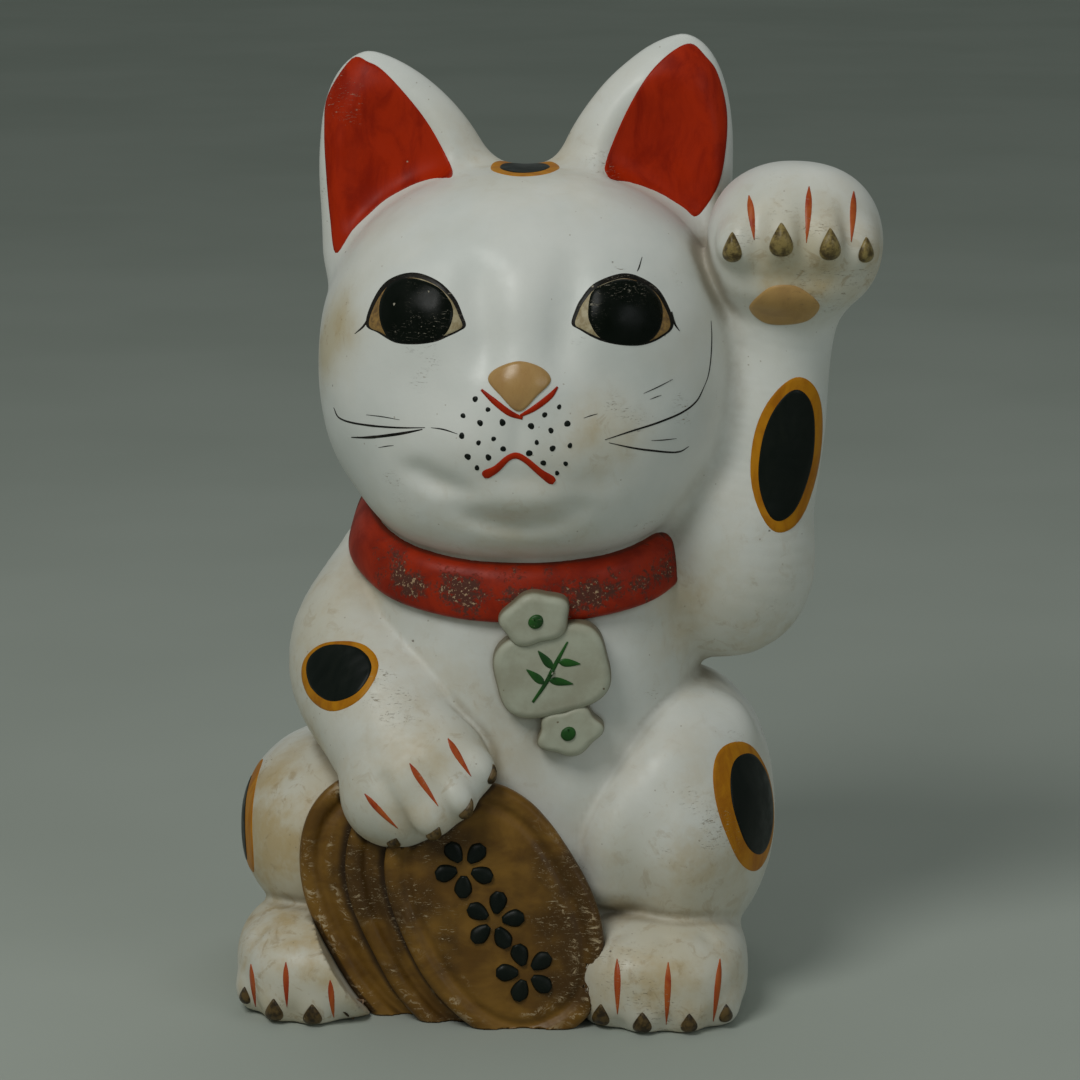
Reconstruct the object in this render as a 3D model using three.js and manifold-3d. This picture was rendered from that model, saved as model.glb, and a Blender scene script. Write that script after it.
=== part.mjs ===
// A hollow ceramic beckoning cat, sitting upright behind three oval coins, one forepaw raised beside its head.
// Millimetres, +Z up, the cat faces -Y. Left and right are the cat's own, so its left side is +X.
//
// The shell is built as hollow ware is: a front and a back half of the body and of the head, pressed to an even
// wall and joined along the sides with slip, hollow haunches, and solid pieces luted on from outside.
// The finished group stands on Z = 0 with the middle of its box over the origin.
import * as THREE from "three";
import { mergeVertices } from "three/addons/utils/BufferGeometryUtils.js";
import Module from "manifold-3d";

const wasm = await Module();
wasm.setup();

// ---------------------------------------------------------------- driving dimensions

const WALL = 6; // thickness of the hollow ware
const LUTING_GAP = 0.3; // slip joint between two pieces
const SEAM_Y = 3; // plane where the front and back halves meet
const SLAB_THICKNESS = 7;
const VENT_RADIUS = 14;
const VENT_CENTRE = [0, 6];
const FAR = 400; // larger than the whole object, for half spaces

// Facets: round the waist and from pole to pole of a rounded mass.
const MASS_FACETS = [20, 12];
const HOLLOW_FACETS = [18, 12];
const MUZZLE_FACETS = [18, 12];
const DISH_FACETS = [16, 10];
const AMULET_FACETS = [16, 8];
const CLAW_FACETS = [8, 6];
const LIMB_SIDES = 14;
const LIMB_END_STEPS = 3; // arcs that round each end of a limb
const EAR_SIDES = 20;
const EAR_STEPS = 8;
const COLLAR_SIDES = 30;
const COLLAR_SECTION_STEPS = 10;
const COIN_SIDES = 28;
const VENT_SIDES = 32;

// Rounded masses: centre, half sizes, and how square the section is (2 is an ellipsoid).
const HEAD = { centre: [-0.7, -6, 200], radii: [66.5, 57, 62.5], squareness: 2.25 };
const MUZZLE = { centre: [-1.5, -46, 181], radii: [28, 19, 20], squareness: 2 };
const NECK = { centre: [-1, 2, 138], radii: [51.5, 50, 34], squareness: 2.2 };
const CHEST = { centre: [-1, 3, 95], radii: [56, 56, 75], squareness: 2.3 };
const HIPS = { centre: [-5, 8, 44], radii: [70, 62, 52], squareness: 2.4 };
const LEFT_HAUNCH = { centre: [46, -4, 57], radii: [34, 50, 43], squareness: 2.2 };
const RIGHT_HAUNCH = { centre: [-59, -3, 48], radii: [34, 47, 31], squareness: 2.2 };
const LEFT_FOOT = { centre: [43, -42, 14], radii: [27.5, 38, 20], squareness: 2.5 };
const RIGHT_FOOT = { centre: [-65, -36, 13], radii: [27.5, 36, 18], squareness: 2.5 };
const RAISED_PAW = { centre: [83.8, -22, 241], radii: [27.8, 26, 25], squareness: 2.3 };

// Limbs: a chain of [x, y, z, radius], round at both ends.
const RAISED_ARM = [
  [46, 2, 126, 19],
  [67, -9, 129.5, 23],
  [73, -13, 155, 18.5],
  [79, -14, 182, 16],
  [81, -14, 222, 14.8],
];
const LOWERED_ARM = [
  [-43, 4, 134, 19],
  [-50.5, -10, 106, 26],
  [-39, -36, 86, 24],
  [-26, -56, 70, 21],
];
const TAIL = [
  [-8, 66, 13, 9],
  [14, 69, 17, 10],
  [17, 68, 42, 8],
];

// Ears: middle of the foot, how far the tip leans out, half width, half thickness, height.
const EAR_FOOT = [35, 9, 236];
const EAR_LEAN = 14.5;
const EAR_HALF_WIDTH = 30;
const EAR_HALF_THICKNESS = 16;
const EAR_HEIGHTS = { left: 67, right: 61.5 };
const EAR_TAPER = 2.4; // higher keeps the ear wide for longer before its tip closes
const EAR_FULLNESS = 0.6; // lower rounds the tip
const EAR_CURL = 1.8; // how late the lean sets in
const EAR_DISH = { radii: [20, 12, 36], squareness: 2.2 };
const EAR_DISH_OFFSET = [9, -19, 26];

// Collar: an oval band round the neck, low at the throat and high at the nape.
const COLLAR_CENTRE = [-1, 0, 149];
const COLLAR_RADII = [51.5, 50];
const COLLAR_HEIGHT = 17;
const COLLAR_THICKNESS = 9;
const COLLAR_SECTION_POWER = 0.7; // below 1 squares the section, with rounded corners
const COLLAR_TILT = THREE.MathUtils.degToRad(16);

// Amulet: knot, plate and drop, one under the other down the chest, tilted with the collar's sag.
const AMULET_TILT = THREE.MathUtils.degToRad(15);
const AMULET_KNOT = { centre: [2.7, -56, 130], radii: [10.5, 5.5, 7], squareness: 2.2 };
const AMULET_PLATE = { centre: [7.9, -54, 111.5], radii: [18, 5.5, 14.5], squareness: 2.8 };
const AMULET_DROP = { centre: [13.2, -54, 93], radii: [9.5, 5, 7], squareness: 2.2 };

// Coins: three equal ovals standing on edge, fanned towards the cat's right and leaning back.
const COIN_HALF_LENGTH = 40;
const COIN_HALF_WIDTH = 31;
const COIN_SQUARENESS = 2.3;
const COIN_THICKNESS = 6.5;
const COIN_BEVEL = 1.5;
const COIN_SPIN = THREE.MathUtils.degToRad(28);
const COIN_LEAN = THREE.MathUtils.degToRad(8);
const COIN_FRONT_CENTRE = [-8, -65, 39.4];
const COIN_STEP_X = -15;
const COIN_CLEAR_DEPTH = 40; // how far in front of the coins the toes are kept out

// Claws: pellets pressed on the toes, as [x, z] on the front of the paw and a size factor.
const CLAW_RADII = [3.1, 2.4, 4.2];
const RAISED_CLAWS = [
  [65, 240.5, 1.0],
  [79.3, 243.5, 1.1],
  [94, 242, 1.05],
  [105.3, 239.5, 0.85],
];
const LEFT_FOOT_CLAWS = [
  [23.5, 5.2, 0.95],
  [36, 4.8, 0.95],
  [50.5, 4.6, 0.85],
  [62, 5.4, 0.75],
];
const RIGHT_FOOT_CLAWS = [
  [-88.5, 6.5, 0.7],
  [-79, 5.2, 0.95],
  [-67, 4.8, 0.95],
];
const LOWERED_CLAWS = [
  [-9.5, 77.5, 0.9],
  [-16.5, 68, 1.0],
  [-26.5, 60.5, 1.0],
  [-39, 57.5, 0.95],
];

// ---------------------------------------------------------------- solids

function solidOf(geometry) {
  const bare = geometry.clone();
  bare.deleteAttribute("normal");
  bare.deleteAttribute("uv");
  const merged = mergeVertices(bare, 1e-4);
  return new wasm.Manifold(
    new wasm.Mesh({
      numProp: 3,
      vertProperties: merged.attributes.position.array,
      triVerts: new Uint32Array(merged.index.array),
    }),
  );
}

function geometryOf(solid) {
  const mesh = solid.getMesh();
  return new THREE.BufferGeometry()
    .setAttribute("position", new THREE.BufferAttribute(mesh.vertProperties, 3))
    .setIndex(new THREE.BufferAttribute(mesh.triVerts, 1));
}

const joined = (solids) => solids.reduce((all, solid) => all.add(solid));

// A rounded mass swollen by `grow`: a sphere whose points are moved out to the squared-off section.
function ovoid({ centre, radii, squareness }, grow = 0, facets = MASS_FACETS) {
  const sphere = new THREE.SphereGeometry(1, ...facets).rotateX(Math.PI / 2);
  const points = sphere.attributes.position;
  const point = new THREE.Vector3();
  for (let i = 0; i < points.count; i++) {
    point.fromBufferAttribute(points, i);
    const power = point.toArray().reduce((sum, part) => sum + Math.abs(part) ** squareness, 0);
    point.multiplyScalar(power ** (-1 / squareness));
    points.setXYZ(i, point.x, point.y, point.z);
  }
  sphere.scale(radii[0] + grow, radii[1] + grow, radii[2] + grow);
  return solidOf(sphere.translate(...centre));
}

// The hull of two balls: a lathe profile of two arcs joined by the line that touches both.
function roundedCone([ax, ay, az, ra], [bx, by, bz, rb], grow) {
  const start = new THREE.Vector3(ax, ay, az);
  const along = new THREE.Vector3(bx, by, bz).sub(start);
  const length = along.length();
  const [low, high] = [ra + grow, rb + grow];
  const touch = Math.asin((low - high) / length);
  const profile = [];
  for (let i = 0; i <= LIMB_END_STEPS; i++) {
    const angle = -Math.PI / 2 + (i / LIMB_END_STEPS) * (Math.PI / 2 + touch);
    profile.push(new THREE.Vector2(low * Math.cos(angle), low * Math.sin(angle)));
  }
  for (let i = 0; i <= LIMB_END_STEPS; i++) {
    const angle = touch + (i / LIMB_END_STEPS) * (Math.PI / 2 - touch);
    profile.push(new THREE.Vector2(high * Math.cos(angle), length + high * Math.sin(angle)));
  }
  profile[0].x = 0;
  profile[profile.length - 1].x = 0;
  const turn = new THREE.Quaternion().setFromUnitVectors(
    new THREE.Vector3(0, 1, 0),
    along.normalize(),
  );
  const lathe = new THREE.LatheGeometry(profile, LIMB_SIDES).applyQuaternion(turn);
  return solidOf(lathe.translate(ax, ay, az));
}

function limb(chain, grow = 0) {
  const parts = chain.slice(1).map((end, i) => roundedCone(chain[i], end, grow));
  return joined(parts);
}

function box(low, high) {
  const size = high.map((value, i) => value - low[i]);
  const middle = high.map((value, i) => (value + low[i]) / 2);
  return solidOf(new THREE.BoxGeometry(...size).translate(...middle));
}

const ground = box([-FAR, -FAR, -FAR], [FAR, FAR, 0]);
const frontHalf = box([-FAR, -FAR, -FAR], [FAR, SEAM_Y - LUTING_GAP / 2, FAR]);
const backHalf = box([-FAR, SEAM_Y + LUTING_GAP / 2, -FAR], [FAR, FAR, FAR]);

// An ear: a rounded cone, flattened front to back and curving out, with a dish scooped from its face.
function ear(side, height) {
  const profile = [new THREE.Vector2(0, 0)];
  for (let i = 0; i < EAR_STEPS; i++) {
    const rise = Math.sin(((i / EAR_STEPS) * Math.PI) / 2);
    profile.push(new THREE.Vector2((1 - rise ** EAR_TAPER) ** EAR_FULLNESS, rise));
  }
  profile.push(new THREE.Vector2(0, 1));
  const cone = new THREE.LatheGeometry(profile, EAR_SIDES).rotateX(Math.PI / 2);
  const points = cone.attributes.position;
  for (let i = 0; i < points.count; i++) {
    const rise = Math.max(0, points.getZ(i));
    const leaned = side * EAR_LEAN * rise ** EAR_CURL;
    points.setXYZ(
      i,
      points.getX(i) * EAR_HALF_WIDTH + leaned,
      points.getY(i) * EAR_HALF_THICKNESS,
      rise * height,
    );
  }
  cone.translate(side * EAR_FOOT[0], EAR_FOOT[1], EAR_FOOT[2]);
  const dish = {
    ...EAR_DISH,
    centre: EAR_FOOT.map((value, i) => value + EAR_DISH_OFFSET[i]),
  };
  dish.centre[0] *= side;
  return solidOf(cone).subtract(ovoid(dish, 0, DISH_FACETS));
}

// The collar: a rounded oblong section turned about the neck, made oval, and tilted forward.
function collarBand(grow = 0) {
  const halfThick = COLLAR_THICKNESS / 2 + grow;
  const halfHigh = COLLAR_HEIGHT / 2 + grow;
  const profile = [];
  for (let i = 0; i <= COLLAR_SECTION_STEPS; i++) {
    const angle = (i / COLLAR_SECTION_STEPS) * 2 * Math.PI;
    const squared = (value) => Math.sign(value) * Math.abs(value) ** COLLAR_SECTION_POWER;
    profile.push(
      new THREE.Vector2(
        1 + (halfThick * squared(Math.cos(angle))) / COLLAR_RADII[0],
        halfHigh * squared(Math.sin(angle)),
      ),
    );
  }
  profile[COLLAR_SECTION_STEPS].copy(profile[0]);
  const band = new THREE.LatheGeometry(profile, COLLAR_SIDES).rotateX(Math.PI / 2);
  band.scale(COLLAR_RADII[0], COLLAR_RADII[1], 1).rotateX(COLLAR_TILT);
  return solidOf(band.translate(...COLLAR_CENTRE));
}

// An amulet piece, turned in the plane of the chest.
function amuletPiece(form, grow = 0) {
  const turned = ovoid({ ...form, centre: [0, 0, 0] }, grow, AMULET_FACETS);
  const degrees = THREE.MathUtils.radToDeg(AMULET_TILT);
  return turned.rotate([0, -degrees, 0]).translate(form.centre);
}

// Coin `index`, 0 in front: an oval outline extruded with bevelled rims, spun, leaned back and set on edge.
// `forward` draws its front face out, which gives the space that the toes stay out of.
function coin(index, grow = 0, forward = 0) {
  const outline = new THREE.Shape();
  for (let i = 0; i < COIN_SIDES; i++) {
    const angle = (i / COIN_SIDES) * 2 * Math.PI;
    const squared = (value) => Math.sign(value) * Math.abs(value) ** (2 / COIN_SQUARENESS);
    const x = (COIN_HALF_WIDTH - COIN_BEVEL + grow) * squared(Math.cos(angle));
    const y = (COIN_HALF_LENGTH - COIN_BEVEL + grow) * squared(Math.sin(angle));
    if (i) outline.lineTo(x, y);
    else outline.moveTo(x, y);
  }
  const thickness = COIN_THICKNESS + 2 * grow;
  const plate = new THREE.ExtrudeGeometry(outline, {
    depth: thickness - 2 * COIN_BEVEL + forward,
    bevelThickness: COIN_BEVEL,
    bevelSize: COIN_BEVEL,
    bevelSegments: 1,
    steps: 1,
  });
  plate.translate(0, 0, COIN_BEVEL - thickness / 2);
  plate.rotateX(Math.PI / 2).rotateY(-COIN_SPIN).rotateX(-COIN_LEAN);
  const pitch = COIN_THICKNESS + LUTING_GAP;
  const [x, y, z] = COIN_FRONT_CENTRE;
  return solidOf(plate.translate(x + index * COIN_STEP_X, y + index * pitch, z));
}

// Where the front of a rounded mass lies at a given x and z.
function frontOf({ centre, radii, squareness }, x, z) {
  const used =
    Math.abs((x - centre[0]) / radii[0]) ** squareness +
    Math.abs((z - centre[2]) / radii[2]) ** squareness;
  return centre[1] - radii[1] * Math.max(0, 1 - used) ** (1 / squareness);
}

// Where the front of a ball lies at a given x and z.
function frontOfBall([cx, cy, cz, radius], x, z) {
  return cy - Math.sqrt(Math.max(0, radius ** 2 - (x - cx) ** 2 - (z - cz) ** 2));
}

function claw([x, z, size], y) {
  const radii = CLAW_RADII.map((radius) => radius * size);
  return ovoid({ centre: [x, y, z], radii, squareness: 2 }, 0, CLAW_FACETS);
}

// ---------------------------------------------------------------- the masses and what each one gives way to

const headForm = (grow = 0) => joined([ovoid(HEAD, grow), ovoid(MUZZLE, grow, MUZZLE_FACETS)]);
const bodyForm = (grow = 0) => joined([CHEST, HIPS, NECK].map((form) => ovoid(form, grow)));

// The one hollow that runs through head, neck, body and haunches.
const hollow = joined(
  [HEAD, NECK, CHEST, HIPS, LEFT_HAUNCH, RIGHT_HAUNCH].map((form) =>
    ovoid(form, -WALL, HOLLOW_FACETS),
  ),
);
const headOver = headForm(LUTING_GAP);
const bodyOver = bodyForm(LUTING_GAP);
const leftHaunchOver = ovoid(LEFT_HAUNCH, LUTING_GAP);
const rightHaunchOver = ovoid(RIGHT_HAUNCH, LUTING_GAP);
const raisedArmOver = limb(RAISED_ARM, LUTING_GAP);
const raisedPawOver = ovoid(RAISED_PAW, LUTING_GAP);
const loweredArmOver = limb(LOWERED_ARM, LUTING_GAP);
const coinsOver = joined([0, 1, 2].map((index) => coin(index, LUTING_GAP)));
const coinsClear = joined([0, 1, 2].map((index) => coin(index, LUTING_GAP, COIN_CLEAR_DEPTH)));

const without = (solid, ...others) => others.reduce((rest, other) => rest.subtract(other), solid);

// The largest body of a cut, leaving off slivers that the cut frees.
function mainBody(solid) {
  return solid.decompose().reduce((best, body) => (body.volume() > best.volume() ? body : best));
}

const head = headForm().subtract(hollow);
const bodyShell = without(bodyForm(), hollow, headOver, ground);
const slabOutline = joined(
  [CHEST, HIPS].map((form) => ovoid(form, -WALL - LUTING_GAP, HOLLOW_FACETS)),
);
const slabBand = box([-FAR, -FAR, 0], [FAR, FAR, SLAB_THICKNESS]);
const vent = solidOf(
  new THREE.CylinderGeometry(VENT_RADIUS, VENT_RADIUS, 4 * SLAB_THICKNESS, VENT_SIDES)
    .rotateX(Math.PI / 2)
    .translate(...VENT_CENTRE, 0),
);

// ---------------------------------------------------------------- materials

function clay(color, roughness) {
  return new THREE.MeshStandardMaterial({ color, roughness, metalness: 0 });
}

const materials = {
  white: clay(0xd9d5c9, 0.35),
  red: clay(0xa8250f, 0.4),
  biscuit: clay(0xb08a63, 0.8),
  grey: clay(0x9c9483, 0.5),
  gold: clay(0x7d5a2c, 0.5),
  horn: clay(0x6b5a2e, 0.4),
};

// ---------------------------------------------------------------- the figure

const cat = new THREE.Group();

function place(name, solid, material) {
  const mesh = new THREE.Mesh(geometryOf(mainBody(solid)), materials[material]);
  mesh.name = name;
  cat.add(mesh);
}

place("base_slab", slabOutline.intersect(slabBand).subtract(vent), "biscuit");
place("body_front", bodyShell.intersect(frontHalf), "white");
place("body_back", bodyShell.intersect(backHalf), "white");
place("head_front", head.intersect(frontHalf), "white");
place("head_back", head.intersect(backHalf), "white");

place("left_ear", without(ear(1, EAR_HEIGHTS.left), headOver, raisedPawOver), "white");
place("right_ear", without(ear(-1, EAR_HEIGHTS.right), headOver), "white");

place("left_haunch", without(ovoid(LEFT_HAUNCH), hollow, bodyOver), "white");
place("right_haunch", without(ovoid(RIGHT_HAUNCH), hollow, bodyOver, loweredArmOver), "white");
place(
  "left_foot",
  without(ovoid(LEFT_FOOT), bodyOver, leftHaunchOver, coinsClear, ground),
  "white",
);
place(
  "right_foot",
  without(ovoid(RIGHT_FOOT), bodyOver, rightHaunchOver, coinsClear, ground),
  "white",
);

place("raised_arm", without(limb(RAISED_ARM), bodyOver, headOver), "white");
place("raised_paw", without(ovoid(RAISED_PAW), raisedArmOver, headOver), "white");
place("lowered_arm", without(limb(LOWERED_ARM), bodyOver, headOver), "white");
place("tail", without(limb(TAIL), bodyOver, ground), "white");

const coinBacking = [bodyOver, leftHaunchOver, rightHaunchOver, loweredArmOver, ground];
["coin_front", "coin_middle", "coin_back"].forEach((name, index) => {
  place(name, without(coin(index), ...coinBacking), "gold");
});

place("collar", without(collarBand(), bodyOver, headOver, raisedArmOver, loweredArmOver), "red");
const collarOver = collarBand(LUTING_GAP);
place("amulet_knot", without(amuletPiece(AMULET_KNOT), bodyOver, collarOver, headOver), "grey");
const knotOver = amuletPiece(AMULET_KNOT, LUTING_GAP);
place("amulet_plate", without(amuletPiece(AMULET_PLATE), bodyOver, collarOver, knotOver), "grey");
const plateOver = amuletPiece(AMULET_PLATE, LUTING_GAP);
place("amulet_drop", without(amuletPiece(AMULET_DROP), bodyOver, plateOver), "grey");

RAISED_CLAWS.forEach((spot, i) => {
  const pellet = claw(spot, frontOf(RAISED_PAW, spot[0], spot[1]));
  place(`raised_claw_${i + 1}`, pellet.subtract(raisedPawOver), "horn");
});
LEFT_FOOT_CLAWS.forEach((spot, i) => {
  const pellet = claw(spot, frontOf(LEFT_FOOT, spot[0], spot[1]));
  place(`left_foot_claw_${i + 1}`, without(pellet, ovoid(LEFT_FOOT, LUTING_GAP), ground), "horn");
});
RIGHT_FOOT_CLAWS.forEach((spot, i) => {
  const pellet = claw(spot, frontOf(RIGHT_FOOT, spot[0], spot[1]));
  const foot = ovoid(RIGHT_FOOT, LUTING_GAP);
  place(`right_foot_claw_${i + 1}`, without(pellet, foot, coinsOver, ground), "horn");
});
LOWERED_CLAWS.forEach((spot, i) => {
  const pellet = claw(spot, frontOfBall(LOWERED_ARM[LOWERED_ARM.length - 1], spot[0], spot[1]));
  place(`lowered_claw_${i + 1}`, without(pellet, loweredArmOver, coinsOver), "horn");
});

// Stand the figure on the origin, under the middle of its box.
const extent = new THREE.Box3().setFromObject(cat);
const middle = extent.getCenter(new THREE.Vector3());
cat.position.set(-middle.x, -middle.y, -extent.min.z);

export default cat;
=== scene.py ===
"""A ceramic beckoning cat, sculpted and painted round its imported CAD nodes.

The skin is one continuous sculpted surface: a distance field worked out from rounded masses that sit on
the CAD nodes, then parted into one wall of clay for each piece. Enamel is laid on it as thin closed films.
All is in millimetres in the row frame until it becomes a Blender mesh. The cat faces -Y, and left and right
are the cat's own, so its left side is at +X.
"""

import math

import bpy
import numpy as np
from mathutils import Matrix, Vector


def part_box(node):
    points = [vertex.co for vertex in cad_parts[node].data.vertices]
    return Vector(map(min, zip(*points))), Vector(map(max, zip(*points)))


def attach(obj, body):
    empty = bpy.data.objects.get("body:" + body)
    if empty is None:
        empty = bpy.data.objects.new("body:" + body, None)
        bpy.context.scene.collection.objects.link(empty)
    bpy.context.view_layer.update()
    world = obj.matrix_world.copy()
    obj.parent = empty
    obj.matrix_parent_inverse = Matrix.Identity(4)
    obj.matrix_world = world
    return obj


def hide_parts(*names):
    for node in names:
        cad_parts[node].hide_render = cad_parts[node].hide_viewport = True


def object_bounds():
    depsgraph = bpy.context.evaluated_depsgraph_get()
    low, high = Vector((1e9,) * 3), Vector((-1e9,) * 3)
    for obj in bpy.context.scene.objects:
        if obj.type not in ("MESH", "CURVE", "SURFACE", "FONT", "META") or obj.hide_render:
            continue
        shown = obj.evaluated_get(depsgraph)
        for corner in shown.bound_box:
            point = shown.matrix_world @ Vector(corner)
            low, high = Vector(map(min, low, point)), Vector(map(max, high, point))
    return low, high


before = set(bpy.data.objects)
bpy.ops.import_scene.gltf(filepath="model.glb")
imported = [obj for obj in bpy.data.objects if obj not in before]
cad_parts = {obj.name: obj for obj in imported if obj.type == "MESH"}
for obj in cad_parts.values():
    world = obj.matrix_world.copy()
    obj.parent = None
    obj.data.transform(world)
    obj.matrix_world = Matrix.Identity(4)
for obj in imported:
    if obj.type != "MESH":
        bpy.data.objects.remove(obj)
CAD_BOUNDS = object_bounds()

MM = 0.001  # one millimetre, in Blender's metres
FAR = 1000.0  # farther than any distance in the object, in millimetres


# ---------------------------------------------------------------- places, read from the frame


def box(*nodes):
    """Lowest and highest corner of some CAD nodes together, in millimetres."""
    corners = np.array([[tuple(corner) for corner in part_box(node)] for node in nodes]) / MM
    return corners[:, 0].min(axis=0), corners[:, 1].max(axis=0)


def middle(*nodes):
    """Middle of the box round some CAD nodes, in millimetres."""
    low, high = box(*nodes)
    return (low + high) / 2


def claw_places(prefix, count):
    """Middles of a paw's claw nodes, in order."""
    return [middle(f"{prefix}_claw_{number}") for number in range(1, count + 1)]


HEAD_AT = middle("head_front", "head_back")
BODY_AT = middle("body_front", "body_back")
SLAB_AT = middle("base_slab")
COLLAR_AT = middle("collar")
PAW_AT = middle("raised_paw")
SEAM_Y = (box("body_front")[1][1] + box("body_back")[0][1]) / 2
RAISED_CLAW_SHIFT = np.array([-1.4, 0, 1.8])
LOWERED_CLAW_SHIFT = np.array([-1.6, 0, 3.2])
CLAWS = {  # where the visible claws of each paw are, moved a little from their nodes on both front paws
    "raised": [place + RAISED_CLAW_SHIFT for place in claw_places("raised", 4)],
    "lowered": [place + LOWERED_CLAW_SHIFT for place in claw_places("lowered", 4)],
    "left_foot": claw_places("left_foot", 4),
    "right_foot": claw_places("right_foot", 3),
}

# ---------------------------------------------------------------- distance fields


class Form:
    """A shape given by a function of x, y and z, which counts only within `reach` of its box."""

    def __init__(self, low, high, value, reach=14.0, outside=FAR):
        self.low = np.asarray(low, float) - reach
        self.high = np.asarray(high, float) + reach
        self.value = value
        self.outside = outside

    def __call__(self, x, y, z):
        for along, low, high in zip((x, y, z), self.low, self.high):
            if along.max() < low or along.min() > high:
                return self.outside
        return self.value(x, y, z)


def rounded(offsets, radii, squareness):
    """Distance outside an ellipse or ellipsoid that has these radii, and is squarer above squareness 2.
    `offsets` are the coordinates from its middle."""
    shares = [np.abs(offset / radius) for offset, radius in zip(offsets, radii)]
    total = np.maximum(sum(share**squareness for share in shares), 1e-4)
    size = total ** (1 / squareness)
    steepness = sum((share ** (squareness - 1) / radius) ** 2 for share, radius in zip(shares, radii))
    return (size - 1) * total / size / np.sqrt(np.maximum(steepness, 1e-9))


def ovoid(centre, radii, squareness=2.0):
    """A rounded mass: an ellipsoid at squareness 2, and squarer above it."""
    centre = np.asarray(centre, float)
    radii = np.asarray(radii, float)

    def value(x, y, z):
        return rounded([v - c for v, c in zip((x, y, z), centre)], radii, squareness)

    return Form(centre - radii, centre + radii, value)


def cone(start, end):
    """A rounded cone between two balls, each given as (x, y, z, radius)."""
    a = np.asarray(start, float)
    b = np.asarray(end, float)
    along = b[:3] - a[:3]
    length2 = along @ along

    def value(x, y, z):
        px, py, pz = x - a[0], y - a[1], z - a[2]
        share = np.clip((px * along[0] + py * along[1] + pz * along[2]) / length2, 0, 1)
        off2 = (px - share * along[0]) ** 2 + (py - share * along[1]) ** 2 + (pz - share * along[2]) ** 2
        return np.sqrt(off2) - (a[3] + share * (b[3] - a[3]))

    low = np.minimum(a[:3] - a[3], b[:3] - b[3])
    high = np.maximum(a[:3] + a[3], b[:3] + b[3])
    return Form(low, high, value)


def blend(one, other, softness):
    """The union of two distances, with the crease between them filled over `softness` millimetres."""
    if np.isscalar(one) or np.isscalar(other):
        return np.minimum(one, other)
    overlap = np.maximum(softness - np.abs(one - other), 0) / softness
    return np.minimum(one, other) - overlap**2 * softness / 4


def carve(one, other, softness):
    """The part of `one` that is outside `other`, with a rounded edge."""
    return -blend(-one, other, softness)


def smoothed(points, steps):
    """A smooth curve through some points, with `steps` pieces between two of them."""
    points = np.asarray(points, float)
    padded = np.vstack([2 * points[0] - points[1], points, 2 * points[-1] - points[-2]])
    curve = []
    for before, start, end, after in zip(padded, padded[1:], padded[2:], padded[3:]):
        for t in np.arange(steps) / steps:
            bend = 2 * start + (end - before) * t + (2 * before - 5 * start + 4 * end - after) * t**2
            curve.append((bend + (3 * start - before - 3 * end + after) * t**3) / 2)
    return np.array([*curve, points[-1]])


def chain(balls):
    """A limb through a chain of balls (x, y, z, radius), bending smoothly from one to the next."""
    balls = smoothed(balls, 8)
    cones = [cone(start, end) for start, end in zip(balls, balls[1:])]

    def value(x, y, z):
        total = FAR
        for part in cones:
            total = np.minimum(total, part(x, y, z))
        return total

    return Form(
        np.min([part.low for part in cones], axis=0),
        np.max([part.high for part in cones], axis=0),
        value,
        reach=0,
    )


def swelling(centre, spread, height):
    """A soft bump of that height in millimetres, or a hollow where it is negative."""
    centre = np.asarray(centre, float)
    spread = np.asarray(spread, float)

    def value(x, y, z):
        shares = [((v - c) / s) ** 2 for v, c, s in zip((x, y, z), centre, spread)]
        return height * np.exp(-sum(shares) / 2)

    return Form(centre, centre, value, reach=3.5 * spread, outside=0.0)


def furrow(points, width, depth):
    """A soft groove along a line of points."""
    lines = [cone((*start, 0.0), (*end, 0.0)) for start, end in zip(points, points[1:])]

    def value(x, y, z):
        nearest = FAR
        for line in lines:
            nearest = np.minimum(nearest, line(x, y, z))
        return -depth * np.exp(-((nearest / width) ** 2))

    return Form(np.min(points, axis=0), np.max(points, axis=0), value, reach=3 * width, outside=0.0)


# ---------------------------------------------------------------- the cat's masses

HEAD_CENTRE = HEAD_AT + (0.5, 0.8, -4.8)
HEAD_RADII = (65.9, 57, 62.5)
EAR_LEAN = 14.5  # how far the tip leans out
EAR_HALF_WIDTH = 30
EAR_HALF_THICKNESS = 16
EAR_ROOT = 26  # how deep an ear goes into the head


def ear(node, side):
    """An ear that curls outwards, with a dish scooped from it. `side` is 1 on the left, -1 on the right."""
    low, high = box(node)
    foot = np.array([(low[0] + high[0]) / 2 - side * 2.5, (low[1] + high[1]) / 2 - 1, low[2]])
    height = high[2] - low[2]
    dish = ovoid(foot + (side * 8, -19.5, 24), (23, 12.5, 41), 2.3)
    spread, taper, curl = 1 / 0.6, 2.4, 1.8

    def value(x, y, z):
        rise = np.clip((z - foot[2]) / height, 0.0, 1.4)
        across = (x - foot[0] - side * EAR_LEAN * rise**curl) / EAR_HALF_WIDTH
        through = (y - foot[1]) / EAR_HALF_THICKNESS
        size = np.sqrt(across**2 + through**2) + 1e-6
        under = np.maximum(foot[2] - z, 0) / EAR_ROOT
        level = size**spread + rise**taper + under**2 - 1
        slant = across * side * EAR_LEAN * curl * rise ** (curl - 1) / (EAR_HALF_WIDTH * height)
        sideways = spread * size ** (spread - 2)
        slope2 = (sideways * across / EAR_HALF_WIDTH) ** 2 + (sideways * through / EAR_HALF_THICKNESS) ** 2
        slope2 = slope2 + (taper * rise ** (taper - 1) / height - sideways * slant) ** 2
        return carve(level / np.sqrt(slope2 + 1e-6), dish(x, y, z), 2.5)

    return Form(low, high, value, reach=EAR_ROOT + 6)


def anchored(place, balls):
    """Moves a chain of balls, given from `place`, into the row frame."""
    return [(*(np.asarray(ball[:3]) + place), ball[3]) for ball in balls]


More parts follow.
